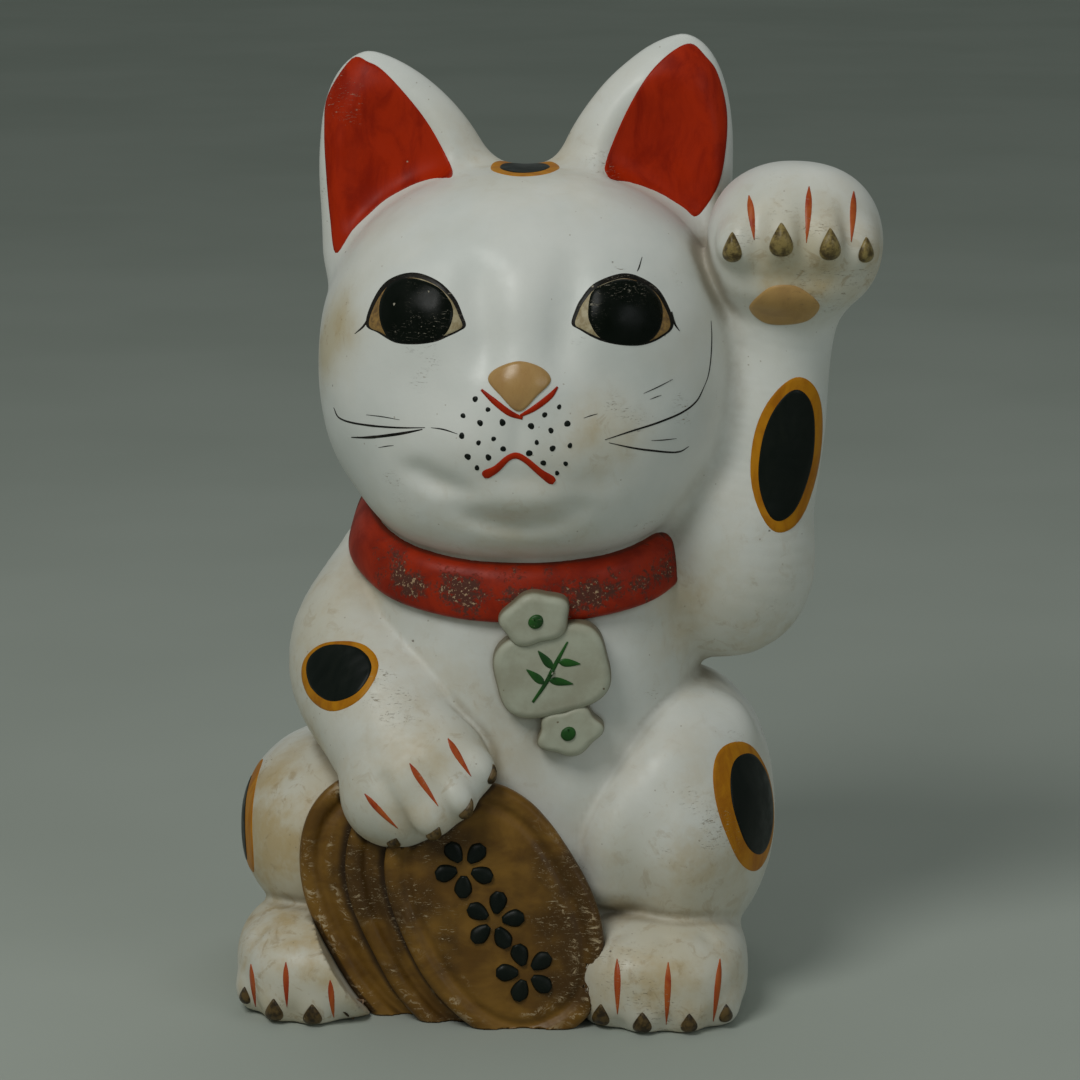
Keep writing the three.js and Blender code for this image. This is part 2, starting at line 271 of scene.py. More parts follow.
def limb(node, balls):
    """A limb whose balls are given from the middle of its CAD node."""
    return chain(anchored(middle(node), balls))


RAISED_ARM = limb(
    "raised_arm",
    [
        (-24.4, 7.8, -45.9, 19),
        (-3.4, -3.2, -42.4, 23),
        (1.4, -7.2, -16.9, 19.8),
        (6.8, -8.2, 10.1, 17.6),
        (9.2, -8.4, 32, 16.4),
        (10.2, -9.2, 46, 17.8),
        (11.8, -10.5, 58, 21),
    ],
)
SHOULDER = ovoid(middle("raised_arm") + (-9, -11, -27), (19, 19, 25))
LOWERED_ARM = limb(
    "lowered_arm",
    [(-2.4, 31.4, 30.6, 19), (-9.9, 15.4, 5.6, 26), (-1.4, -9.6, -10.6, 23.8), (5.0, -28.6, -24.6, 17.8)],
)
LOWERED_PALM_ENDS = [(-0.6, -28.8, -28.4, 17.2), (11.8, -28.0, -20.6, 17.4)]
LOWERED_PALM = cone(*anchored(middle("lowered_arm"), LOWERED_PALM_ENDS))
TAIL = limb("tail", [(-12.1, -2.5, -14.1, 9), (9.9, 0.5, -10.1, 10), (12.9, -0.5, 14.9, 8)])


def toes(claws, heart, radius, lift, proud=0.3, tip_lift=1.5):
    """A toe from near `heart` to behind each claw, where it stands out by the share `proud` of its radius."""
    made = []
    for claw in claws:
        inward = (heart - claw) / np.linalg.norm(heart - claw)
        tip = claw + inward * radius * (1 - proud) + (0, 0, tip_lift)
        root = claw + (heart - claw) * 0.45 + (0, 0, lift)
        made.append(cone((*root, radius), (*tip, radius)))
    return made


def between(claws, start, end):
    """The valleys between toes: lines from `start` to `end`, both given from the point between two claws."""
    return [[(one + other) / 2 + start, (one + other) / 2 + end] for one, other in zip(claws, claws[1:])]


LOWERED_PAW_AT = middle("lowered_arm") + (5.5, -28.6, -24.6)
RAISED_TOES = toes(CLAWS["raised"], PAW_AT, radius=7.6, lift=6)
LEFT_TOES, RIGHT_TOES = (
    toes(CLAWS[foot], middle(foot) + (0, 4, 0), radius=7.0, lift=4, proud=0.12, tip_lift=-1.2)
    for foot in ("left_foot", "right_foot")
)
LOWERED_TOES = toes(CLAWS["lowered"], LOWERED_PAW_AT, radius=6.8, lift=3, proud=0.05)
VALLEYS = [
    furrow(line, width, depth)
    for paw, width, depth, start, end in (
        ("raised", 3.0, 1.7, (0, -3, -6), (0, 0, 20)),
        ("left_foot", 3.2, 0.9, (0, -1, -2), (0, 9, 22)),
        ("right_foot", 3.2, 0.9, (0, -1, -2), (0, 9, 20)),
        ("lowered", 3.0, 1.4, (3, -1, -4), (-10, -1, 18)),
    )
    for line in between(CLAWS[paw], start, end)
]

PALM_RELIEF = [
    swelling(PAW_AT + (-2, -24, -8.5), (15, 10, 3.2), -2.0),
    *[swelling(claw + (0, 0, -3), (5, 7, 4.5), 1.3) for claw in CLAWS["raised"]],
]

# Relief of the face: place from the middle of the head's node box, spread, and height.
FACE_RELIEF = [
    swelling(HEAD_AT + (x, y, z), spread, height)
    for x, y, z, spread, height in (
        (-0.5, -60, 17, (12, 22, 17), 2.0),  # bridge of the nose
        (-1.5, -62, -2, (10, 22, 7), 2.8),  # tip of the nose
        (-14.5, -58, 26, (5, 22, 7), -2.3),  # valley on each side of the bridge
        (-13.0, -58, 16, (5, 22, 7), -2.1),
        (-12.0, -58, 7, (4, 22, 6), -1.6),
        (14.0, -58, 27, (5, 22, 7), -2.4),
        (12.5, -58, 17, (5, 22, 7), -2.2),
        (10.8, -58, 8, (4, 22, 6), -1.7),
        (-33.5, -55, 18, (14, 22, 12), 2.6),  # mounds under the eyes
        (31, -55, 18, (14, 22, 12), 2.6),
        (-16, -62, -19, (11, 22, 9), 2.6),  # whisker pads
        (13, -62, -19, (11, 22, 9), 2.2),
        (-1.5, -62, -15, (2.2, 22, 6), -1.0),  # parting under the nose
        (-32, -60, -29.5, (4, 22, 2.8), -1.8),  # fold under the whisker pads
        (-26, -60, -33, (4.5, 22, 2.8), -2.5),
        (-19, -60, -35, (4, 22, 2.4), -1.2),
        (20, -60, -33, (6, 22, 3), -0.7),
        (-1.5, -66, -31, (8, 18, 3), -0.7),  # hollow under the mouth
        (-2.5, -60, -37.5, (12, 22, 5), 1.8),  # chin
        (-20, -60, -40, (4, 22, 2.8), -1.0),  # crease round the chin
        (-13, -60, -44, (5, 22, 2.6), -1.6),
        (-2.5, -60, -46.5, (7, 22, 2.4), -1.8),
        (8, -60, -44.5, (5, 22, 2.6), -1.5),
        (16, -60, -40.5, (4, 22, 2.8), -1.0),
        (-46, -46, -22, (14, 24, 13), 1.8),  # cheeks
        (43, -46, -22, (14, 24, 13), 1.8),
    )
]
HEAD = ovoid(HEAD_CENTRE, HEAD_RADII, 2.25)
JAW = ovoid(HEAD_AT + (-1, -24.5, -39.5), (44, 25.8, 21.2), 2.35)
MUZZLE = ovoid(HEAD_AT + (-0.8, -38.8, -26.5), (31, 19.3, 24.5))
NECK = ovoid(BODY_AT + (3.7, -6.0, 57.6), (51.5, 50, 34), 2.2)
CHEST = ovoid(BODY_AT + (3.7, -5.0, 14.6), (56, 56, 75), 2.3)
HIPS = ovoid(BODY_AT + (-0.3, 0, -36.4), (70, 62, 52), 2.4)


def head(x, y, z):
    """The head with its muzzle and the relief of the face."""
    total = blend(blend(HEAD(x, y, z), MUZZLE(x, y, z), 18.0), JAW(x, y, z), 12.0)
    if np.isscalar(total):
        return total
    for relief in FACE_RELIEF:
        total = total - relief(x, y, z)
    return total


def torso(x, y, z):
    """Neck, chest and hips in one."""
    total = blend(CHEST(x, y, z), HIPS(x, y, z), 16.0)
    return blend(total, NECK(x, y, z), 12.0)


def blended(mass, parts, softness):
    """A mass with smaller parts blended on, as a function of x, y and z."""

    def value(x, y, z):
        total = mass(x, y, z)
        for part in parts:
            total = blend(total, part(x, y, z), softness)
        return total

    return value


# The coins: ovals spun in their own plane and leaned back against the belly.
COIN_HALF_WIDTHS = (29.6, 31, 31)
COIN_HALF_LENGTHS = (41, 46, 46)
COIN_SINKS = (1.5, 5.5, 5.5)  # how far its middle lies below its node's, as the ground cuts it off
COIN_LOWER_HALF = (1.11, 1.05, 1.05)  # how much longer a coin is below its middle than above
COIN_SQUARENESS = 2.3
COIN_THICKNESS = 6.5
COIN_SPIN = math.radians(28)
COIN_LEAN = math.radians(8)
COIN_NORMAL = np.array([0, -math.cos(COIN_LEAN), math.sin(COIN_LEAN)])
COIN_RISE = np.array([0, math.sin(COIN_LEAN), math.cos(COIN_LEAN)])
COIN_UP = math.cos(COIN_SPIN) * COIN_RISE - math.sin(COIN_SPIN) * np.array([1.0, 0, 0])
COIN_ACROSS = np.cross(COIN_UP, COIN_NORMAL)
COIN_PLACES = [
    middle("coin_front") + (-1.8, 0.1, 0.4) - COIN_SINKS[0] * COIN_UP - 1.4 * COIN_ACROSS,
    middle("coin_middle") + (0, 0.7, 5.1) - COIN_SINKS[1] * COIN_UP,
    middle("coin_back") + (0, 0.3, 2.0) - COIN_SINKS[2] * COIN_UP,
]


def coin_axes(place, x, y, z):
    """Coordinates across, along and out of a coin's face."""
    offsets = (x - place[0], y - place[1], z - place[2])
    return [sum(o * part for o, part in zip(offsets, axis)) for axis in (COIN_ACROSS, COIN_UP, COIN_NORMAL)]


def coin_outline(number, across, along):
    """Distance outside a coin's oval outline, in its own plane."""
    length = COIN_HALF_LENGTHS[number] * np.where(along < 0, COIN_LOWER_HALF[number], 1.0)
    return rounded((across, along), (COIN_HALF_WIDTHS[number], length), COIN_SQUARENESS)


def coin_space(x, y, z):
    """Distance to the coins and all that is in front of them, which the toes stay out of."""
    nearest = FAR
    for number, place in enumerate(COIN_PLACES):
        across, along, out = coin_axes(place, x, y, z)
        slab = np.maximum(coin_outline(number, across, along), -out - COIN_THICKNESS / 2)
        nearest = np.minimum(nearest, slab)
    return nearest


RIGHT_FOOT = ovoid(middle("right_foot") + (0.1, 0, -2.4), (27.5, 36, 18), 2.5)


def right_foot(x, y, z):
    """The foot beside the coins, cut away where they stand."""
    total = RIGHT_FOOT(x, y, z)
    for toe in RIGHT_TOES:
        total = blend(total, toe(x, y, z), 4.0)
    if np.isscalar(total):
        return total
    return np.maximum(total, -coin_space(x, y, z))


LEFT_THIGH = ovoid(middle("left_haunch") + (-5.9, 0.7, -0.4), (33, 50, 43), 2.2)
LEFT_KNEE = ovoid(middle("left_haunch") + (-5.5, -19.5, -6), (28.5, 40, 43), 1.8)
LEFT_CREST = limb(
    "left_haunch",
    [
        (8.4, -22.4, 27.1, 8.5),
        (-6.6, -35.9, 20.9, 8.5),
        (-18.6, -43.4, 10.4, 8.5),
        (-26.1, -46.9, -1.4, 9),
        (-28.1, -45.4, -14.4, 9),
    ],
)

# Every clay piece of the skin, and how softly it is luted on to those before it.
SKIN = {
    "body": (torso, 1.0),
    "left_haunch": (blended(LEFT_THIGH, [LEFT_KNEE, LEFT_CREST], 10.0), 2.5),
    "right_haunch": (ovoid(middle("right_haunch") + (9.9, 0.6, -0.4), (34, 47, 31), 2.2), 7.0),
    "tail": (TAIL, 4.0),
    "left_foot": (
        blended(ovoid(middle("left_foot") + (-1.8, 0.6, -4.4), (29.1, 38, 19.5), 2.6), LEFT_TOES, 4.0),
        3.0,
    ),
    "right_foot": (right_foot, 3.0),
    "head": (head, 3.0),
    "raised_arm": (blended(RAISED_ARM, [SHOULDER], 10.0), 9.0),
    "lowered_arm": (blended(LOWERED_ARM, [LOWERED_PALM, *LOWERED_TOES], 5.0), 2.2),
    "raised_paw": (blended(ovoid(PAW_AT, (27.4, 26, 24.7), 2.2), RAISED_TOES, 4.0), 4.0),
    "left_ear": (ear("left_ear", 1), 9.0),
    "right_ear": (ear("right_ear", -1), 9.0),
}
GROUND_ROUNDING = 1.6


def uneven(x, y, z):
    """The slight waviness that hands and brushes leave in the skin."""
    wave = np.sin(x / 5.1 + 1.3 * np.sin(z / 9.7)) * np.sin(y / 6.3 + z / 11.9) * np.sin(z / 5.7 + x / 13.1)
    return 0.12 * wave


def skin(x, y, z):
    """Distance to the whole glazed figure without its coins, collar, amulet and claws."""
    total = FAR
    for form, softness in SKIN.values():
        total = blend(total, form(x, y, z), softness)
    for relief in (*VALLEYS, *PALM_RELIEF):
        total = total - relief(x, y, z)
    return carve(total - uneven(x, y, z), z, GROUND_ROUNDING)


# ---------------------------------------------------------------- from fields to meshes

PITCH = 1.5  # grid of the skin, in millimetres
FINE_PITCH = 1.0  # grid of the coins
COLLAR_PITCH = 0.7
FINEST_PITCH = 0.6  # grid of the amulet
BLOCK = 20  # grid cells worked out at a time
CHUNK = 6000  # points worked out at a time
SETTLING_STEPS = 2  # how often each vertex is moved on to the surface
LEAST_SLOPE2 = 0.2  # least squared slope that this counts with


def at_points(field, points):
    """A field's value at each point."""
    values = [
        np.broadcast_to(field(*chunk.T), len(chunk))
        for chunk in np.array_split(points, len(points) // CHUNK + 1)
        if len(chunk)
    ]
    return np.concatenate(values)


def slopes(field, points, step=0.08):
    """A field's value and gradient at each point, from the corners of a small tetrahedron."""
    corners = np.array([(1, 1, 1), (1, -1, -1), (-1, 1, -1), (-1, -1, 1)], float)
    values = np.array([at_points(field, points + step * corner) for corner in corners])
    return values.mean(axis=0), values.T @ corners / (4 * step)


def unit(vectors):
    """Vectors brought to length 1."""
    return vectors / np.maximum(np.linalg.norm(vectors, axis=-1, keepdims=True), 1e-9)


def sampled(field, axes):
    """A field on a grid, block by block, so that forms which are far from a block cost nothing."""
    values = np.empty([len(axis) for axis in axes], np.float32)
    starts = [range(0, len(axis), BLOCK) for axis in axes]
    for i in starts[0]:
        for j in starts[1]:
            for k in starts[2]:
                x = axes[0][i : i + BLOCK, None, None]
                y = axes[1][None, j : j + BLOCK, None]
                z = axes[2][None, None, k : k + BLOCK]
                values[i : i + BLOCK, j : j + BLOCK, k : k + BLOCK] = field(x, y, z)
    return values


def net(field, low, high, pitch):
    """The zero surface of a field as triangles, with one vertex in each grid cell that it crosses."""
    axes = [np.arange(start - 2 * pitch, end + 3 * pitch, pitch) for start, end in zip(low, high)]
    values = sampled(field, axes)
    inside = values < 0
    corners = np.array([(i, j, k) for i in (0, 1) for j in (0, 1) for k in (0, 1)])
    cells = np.array(values.shape) - 1
    a, b, c = cells
    count = sum(inside[i : i + a, j : j + b, k : k + c].astype(np.int8) for i, j, k in corners)
    crossed = np.argwhere((count > 0) & (count < 8))
    number = np.full(cells, -1)
    number[tuple(crossed.T)] = np.arange(len(crossed))

    total = np.zeros((len(crossed), 3))
    hits = np.zeros((len(crossed), 1))
    for one in corners:
        for other in corners:
            if (other - one).sum() != 1 or (other < one).any():
                continue
            a = values[tuple((crossed + one).T)].astype(float)
            b = values[tuple((crossed + other).T)].astype(float)
            crosses = (a < 0) != (b < 0)
            share = np.where(crosses, a / np.where(crosses, a - b, 1), 0)
            total += crosses[:, None] * (one + share[:, None] * (other - one))
            hits += crosses[:, None]
    vertices = np.array([axis[0] for axis in axes]) + pitch * (crossed + total / hits)

    faces = []
    for axis in range(3):
        ahead = np.eye(3, dtype=int)[axis]
        side, up = np.eye(3, dtype=int)[(axis + 1) % 3], np.eye(3, dtype=int)[(axis + 2) % 3]
        trimmed = tuple(slice(0, size - step) for size, step in zip(inside.shape, ahead))
        moved = tuple(slice(step, size) for size, step in zip(inside.shape, ahead))
        edges = np.argwhere(inside[trimmed] != inside[moved])
        edges = edges[((edges - side - up) >= 0).all(axis=1) & (edges < cells).all(axis=1)]
        ring = [number[tuple((edges - shift).T)] for shift in (side + up, up, 0 * up, side)]
        quads = np.stack(ring, axis=1)
        outward = inside[tuple(edges.T)]
        quads[~outward] = quads[~outward][:, ::-1]
        faces += [quads[:, [0, 1, 2]], quads[:, [0, 2, 3]]]
    for _ in range(SETTLING_STEPS):
        value, slope = slopes(field, vertices)
        step = value / np.maximum((slope**2).sum(axis=1), LEAST_SLOPE2)
        vertices = vertices - slope * np.clip(step, -pitch / 2, pitch / 2)[:, None]
    return vertices, np.concatenate(faces)


ON_THE_LINE = 0.12  # a vertex nearer than this to a cut counts as lying on it


def cut(vertices, faces, value):
    """Cuts triangles where `value`, a function of points, is zero. Returns the vertices with the new ones
    added, the faces on the negative side, and the rest."""
    level = value(vertices)
    level[np.abs(level) < ON_THE_LINE] = 0.0
    signs = np.sign(level[faces])
    negative = faces[(signs <= 0).all(axis=1)]
    positive = faces[((signs >= 0).all(axis=1)) & (signs > 0).any(axis=1)]
    mixed = faces[(signs < 0).any(axis=1) & (signs > 0).any(axis=1)]
    new_number = {}
    added = []

    def crossing(a, b):
        key = (min(a, b), max(a, b))
        if key not in new_number:
            share = level[a] / (level[a] - level[b])
            new_number[key] = len(vertices) + len(added)
            added.append(vertices[a] + share * (vertices[b] - vertices[a]))
        return new_number[key]

    sides = {-1: [], 1: []}
    for face in mixed.tolist():
        corners = []
        for a, b in zip(face, face[1:] + face[:1]):
            corners.append((a, np.sign(level[a])))
            if level[a] * level[b] < 0:
                corners.append((crossing(a, b), 0))
        for side in (-1, 1):
            ring = [corner for corner, sign in corners if sign in (0, side)]
            sides[side] += [(ring[0], ring[i], ring[i + 1]) for i in range(1, len(ring) - 1)]
    vertices = np.vstack([vertices, np.array(added).reshape(-1, 3)])
    low_side = np.vstack([negative, np.array(sides[-1], int).reshape(-1, 3)])
    high_side = np.vstack([positive, np.array(sides[1], int).reshape(-1, 3)])
    return vertices, low_side, high_side


def open_edges(faces):
    """Directed edges that have a face on one side only."""
    edges = np.concatenate([faces[:, [0, 1]], faces[:, [1, 2]], faces[:, [2, 0]]])
    seen = set(map(tuple, edges.tolist()))
    return [(a, b) for a, b in seen if (b, a) not in seen]


WALL = 5.0
LEAST_INNER_HEIGHT = 0.5  # the inside of a low wall stays above the ground


def shell(vertices, faces, normals):
    """Thickens an open sheet inwards into a closed wall. Returns its vertices, faces and normals, and how
    many of the faces are outside."""
    count = len(vertices)
    inner = vertices - WALL * normals
    inner[:, 2] = np.maximum(inner[:, 2], np.minimum(vertices[:, 2], LEAST_INNER_HEIGHT))
    rims = [(b, a, a + count, b + count) for a, b in open_edges(faces)]
    rims = [triangle for b, a, c, d in rims for triangle in ((b, a, c), (b, c, d))]
    every = np.vstack([faces, faces[:, ::-1] + count, np.array(rims, int).reshape(-1, 3)])
    return np.vstack([vertices, inner]), every, np.vstack([normals, -normals]), len(faces)


# ---------------------------------------------------------------- Blender pieces


def piece(name, vertices, faces, materials, nodes=(), normals=None, outside=None, marks=None):
    """A Blender mesh, from millimetres. Faces after the first `outside` take the second material."""
    mesh = bpy.data.meshes.new(name)
    faces = faces.tolist() if isinstance(faces, np.ndarray) else faces
    mesh.from_pydata((np.asarray(vertices) * MM).tolist(), [], faces)
    for material in materials:
        mesh.materials.append(material)
    if outside is not None:
        mesh.polygons.foreach_set("material_index", (np.arange(len(faces)) >= outside).astype(np.int32))
    mesh.polygons.foreach_set("use_smooth", np.ones(len(mesh.polygons), bool))
    for mark, values in (marks or {}).items():
        mesh.attributes.new(mark, "FLOAT", "POINT").data.foreach_set("value", values.astype(np.float32))
    if normals is not None:
        mesh.normals_split_custom_set_from_vertices(unit(np.asarray(normals)).tolist())
    mesh.update()
    made = bpy.data.objects.new(name, mesh)
    bpy.context.scene.collection.objects.link(made)
    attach(made, "root")
    if nodes:
        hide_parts(*nodes)
    return made


# ---------------------------------------------------------------- painted films


LANDING_STEPS = 45
LANDED = 0.01  # distance from the surface at which a drawing has landed


def ring_faces(here, there, count):
    """Quads between two rings of `count` points each, whose first points are numbers `here` and `there`."""
    steps = [(i, (i + 1) % count) for i in range(count)]
    return [(here + i, there + i, there + j, here + j) for i, j in steps]


class Aim:
    """A sheet that a painted shape is drawn on, and the direction in which it is then laid on the surface."""

    def __init__(self, place, azimuth=0, elevation=0, axes=None):
        a, e = math.radians(azimuth), math.radians(elevation)
        self.place = np.asarray(place, float)
        self.back = np.array([math.sin(a) * math.cos(e), -math.cos(a) * math.cos(e), math.sin(e)])
        self.right = np.array([math.cos(a), math.sin(a), 0])
        if axes:
            self.right, self.back = axes
        self.up = np.cross(self.back, self.right)

    def land(self, drawing, surface, reach=90.0):
        """The points of a drawing (across, up) on the surface, and the surface's normals there."""
        drawing = np.asarray(drawing, float)
        points = self.place + drawing[:, :1] * self.right + drawing[:, 1:2] * self.up + reach * self.back
        for _ in range(LANDING_STEPS):
            ahead = np.clip(at_points(surface, points), -2, 30)
            points = points - 0.9 * ahead[:, None] * self.back
            if np.abs(ahead).max() < LANDED:
                break
        return points, unit(slopes(surface, points)[1])


def loop(points, steps=8):
    """A smooth closed outline through some points."""
    points = np.asarray(points, float)
    count = len(points)
    curve = smoothed(np.vstack([points[-2:], points, points[:3]]), steps)
    return curve[2 * steps : (2 + count) * steps]


def turned(flat, tilt):
    """Points in a plane, turned by an angle in degrees."""
    turn = math.radians(tilt)
    return flat @ np.array([[math.cos(turn), math.sin(turn)], [-math.sin(turn), math.cos(turn)]])


def egg(centre, half_long, half_short, tilt, wobble=0.02, count=72):
    """A hand-painted oval: `tilt` is its long axis's angle in degrees."""
    angle = np.linspace(0, 2 * math.pi, count, endpoint=False)
    radius = 1 + wobble * (np.sin(2 * angle + 1.1) + 0.6 * np.sin(3 * angle + 0.4) + 0.3 * np.sin(7 * angle))
    flat = np.stack([half_long * radius * np.cos(angle), half_short * radius * np.sin(angle)], axis=1)
    return centre + turned(flat, tilt)


BURIED = 0.4  # how deep the underside of a film lies in the clay
EDGE_SINK = 0.12  # how deep its edge does
FILM_EDGE = 0.35  # width over which a film's edge rounds down


def film(name, outline, aim, material, height=0.18, dome=0.0, surface=skin):
    """A closed film of enamel inside an outline, laid on the surface. `dome` lifts its middle farther."""
    centre = (outline.min(axis=0) + outline.max(axis=0)) / 2
    size = np.abs(outline - centre).max()
    count = len(outline)
    inner = np.linspace(0, 1 - FILM_EDGE / size, max(4, int(size / 1.1)) + 1)[1:]
    shares = [*inner, 1.0]
    drawing = np.vstack([centre[None]] + [centre + share * (outline - centre) for share in shares])
    points, normals = aim.land(drawing, surface)
    rise = np.array([height + dome] + [height + dome * (1 - s**2) for s in inner for _ in range(count)])
    rise = np.concatenate([rise, np.full(count, -EDGE_SINK)])
    top = points + rise[:, None] * normals
    under = (points - BURIED * normals)[:-count]
    faces = []
    for base, flip in ((0, False), (len(top), True)):
        rings = [base + 1 + ring * count for ring in range(len(shares))]
        if flip:
            rings[-1] = 1 + (len(shares) - 1) * count
        made = [(base, rings[0] + i, rings[0] + (i + 1) % count) for i in range(count)]
        for inner_ring, outer_ring in zip(rings, rings[1:]):
            made += ring_faces(inner_ring, outer_ring, count)
        faces += [face[::-1] for face in made] if flip else made
    if signed_area(outline) < 0:
        faces = [face[::-1] for face in faces]
    return piece(name, np.vstack([top, under]), faces, [material])


def signed_area(outline):
    """Area inside an outline, negative if it runs clockwise."""
    x, y = outline.T
    return (x * np.roll(y, -1) - y * np.roll(x, -1)).sum() / 2


LEAST_STROKE = 0.12  # width that a brush line ends in


def strokes(name, lines, aim, material, height=0.16, surface=skin):
    """Brush strokes as one piece: each line is a list of (across, up, width) that it passes through."""
    # The section across a line: shares of its width, and heights above the surface.
    shoulder = 0.8 * height
    section = [(-0.5, -EDGE_SINK), (-0.36, shoulder), (0, height), (0.36, shoulder), (0.5, -EDGE_SINK)]
    section += [(0.36, -BURIED), (0, -BURIED), (-0.36, -BURIED)]
    vertices, faces = [], []
    for line in lines:
        steps = max(3, int(np.linalg.norm(np.diff(np.asarray(line)[:, :2], axis=0), axis=1).max() / 0.7))
        path = smoothed(line, steps)
        along = np.gradient(path[:, :2], axis=0)
        side = unit(np.stack([along[:, 1], -along[:, 0]], axis=1))
        width = np.maximum(path[:, 2:3], LEAST_STROKE)
        drawing = np.concatenate([path[:, :2] + across * width * side for across, _ in section])
        points, normals = aim.land(drawing, surface)
        rise = np.repeat([lift for _, lift in section], len(path))
        rings = (points + rise[:, None] * normals).reshape(len(section), len(path), 3)
        base = len(vertices)
        vertices += list(rings.transpose(1, 0, 2).reshape(-1, 3))
        count = len(section)
        for start in range(base, base + (len(path) - 1) * count, count):
            faces += ring_faces(start + count, start, count)
        faces.append(tuple(base + j for j in reversed(range(count))))
        faces.append(tuple(base + (len(path) - 1) * count + j for j in range(count)))
    piece(name, vertices, faces, [material])


def dots(name, places, radius, aim, material, height=0.22):
    """Round dots of enamel as one piece, each slightly its own size and shape."""
    vertices, faces = [], []
    for number, place in enumerate(places):
        size = radius * (1 + 0.16 * math.sin(5.1 * number))
        angles = np.linspace(0, 2 * math.pi, 14, endpoint=False)
        wave = 1 + 0.08 * np.sin(2 * angles + number) + 0.05 * np.sin(3 * angles + 2 * number)
        ring = np.stack([np.cos(angles) * wave, 1.08 * np.sin(angles) * wave], axis=1) * size
        shares = (0.0, 0.7, 1.0)
        drawing = np.vstack([np.asarray(place) + share * ring for share in shares])
        points, normals = aim.land(drawing, skin)
        count = len(ring)
        rise = np.repeat([height, 0.8 * height, -EDGE_SINK], count)
        points = points + rise[:, None] * normals
        low = points[-count:] - BURIED * normals[-count:]
        base = len(vertices)
        vertices += [points[0], *points[count:], *low]
        faces += [(base, base + 1 + i, base + 1 + (i + 1) % count) for i in range(count)]
        for start in (base + 1, base + 1 + count):
            faces += ring_faces(start, start + count, count)
        faces.append(tuple(base + 1 + 2 * count + i for i in reversed(range(count))))
    piece(name, vertices, faces, [material])


# ---------------------------------------------------------------- materials


class Shader:
    """A node material under construction. Each method adds a node and returns its output."""

    def __init__(self, name, roughness=0.4, specular=0.5):
        self.material = bpy.data.materials.new(name)
        self.material.use_nodes = True
        self.tree = self.material.node_tree
        self.surface = self.tree.nodes["Principled BSDF"]
        self.surface.inputs["Roughness"].default_value = roughness
        self.surface.inputs["Specular IOR Level"].default_value = specular
        self.place = self.add("ShaderNodeTexCoord").outputs["Object"]

    def add(self, kind, **settings):
        node = self.tree.nodes.new(kind)
        for setting, value in settings.items():
            setattr(node, setting, value)
        return node

    def link(self, value, socket):
        if isinstance(value, bpy.types.NodeSocket):
            self.tree.links.new(value, socket)
        else:
            socket.default_value = value

    def stretched(self, scale, turn=(0, 0, 0)):
        """Coordinates scaled along each axis, to draw a pattern out."""
        node = self.add("ShaderNodeMapping")
        self.link(self.place, node.inputs["Vector"])
        node.inputs["Scale"].default_value = scale
        node.inputs["Rotation"].default_value = turn
        return node.outputs["Vector"]

    def noise(self, scale, detail=3.0, roughness=0.55, distortion=0.0, vector=None):
        node = self.add("ShaderNodeTexNoise")
        self.link(vector or self.place, node.inputs["Vector"])
        node.inputs["Scale"].default_value = scale
        node.inputs["Detail"].default_value = detail
        node.inputs["Roughness"].default_value = roughness
        node.inputs["Distortion"].default_value = distortion
        return node.outputs["Fac"]

    def cells(self, scale, feature="F1", output="Distance", vector=None):
        node = self.add("ShaderNodeTexVoronoi", feature=feature)
        self.link(vector or self.place, node.inputs["Vector"])
        node.inputs["Scale"].default_value = scale
        return node.outputs[output]

    def mark(self, name):
        """A value kept on the mesh's points."""
        return self.add("ShaderNodeAttribute", attribute_name=name).outputs["Fac"]

    def maths(self, operation, one, other=0.0):
        node = self.add("ShaderNodeMath", operation=operation)
        self.link(one, node.inputs[0])
        self.link(other, node.inputs[1])
        return node.outputs["Value"]

    def times(self, one, other):
        return self.maths("MULTIPLY", one, other)

    def plus(self, one, other):
        return self.maths("ADD", one, other)

    def rest(self, value):
        """What is left of 1 after a value."""
        return self.maths("SUBTRACT", 1.0, value)

    def band(self, value, low, high, to_low=0.0, to_high=1.0):
        """`value` taken from low..high to to_low..to_high, smoothly and within those ends."""
        node = self.add("ShaderNodeMapRange", interpolation_type="SMOOTHSTEP")
        self.link(value, node.inputs["Value"])
        ends = {"From Min": low, "From Max": high, "To Min": to_low, "To Max": to_high}
        for socket, number in ends.items():
            node.inputs[socket].default_value = number
        return node.outputs["Result"]

    def mix(self, share, one, other):
        """One colour towards another."""
        node = self.add("ShaderNodeMix", data_type="RGBA")
        self.link(share, node.inputs["Factor"])
        for socket, colour in ((node.inputs["A"], one), (node.inputs["B"], other)):
            self.link((*colour, 1.0) if isinstance(colour, tuple) else colour, socket)
        return node.outputs["Result"]

    def bump(self, height, distance, strength=1.0, under=None):
        """Relief of that depth in millimetres from a height of 0 to 1."""
        node = self.add("ShaderNodeBump")
        self.link(height, node.inputs["Height"])
        node.inputs["Distance"].default_value = distance * MM
        node.inputs["Strength"].default_value = strength
        if under:
            self.link(under, node.inputs["Normal"])
        return node.outputs["Normal"]

    def finish(self, colour, roughness=None, normal=None):
        self.link(colour, self.surface.inputs["Base Color"])
        if roughness:
            self.link(roughness, self.surface.inputs["Roughness"])
        if normal:
            self.link(normal, self.surface.inputs["Normal"])
        return self.material


def flecks(shader, scale, size, share):
    """Scattered specks: 1 inside one. `size` is a share of a cell, and `share` is how many cells hold one."""
    near = shader.cells(scale)
    lot = shader.cells(scale, output="Color")
    chosen = shader.maths("LESS_THAN", lot, share)
    ragged = shader.plus(near, shader.times(shader.noise(scale * 4, 2.0), 0.25))
    return shader.times(shader.band(ragged, size + 0.1, size + 0.2, 1.0, 0.0), chosen)


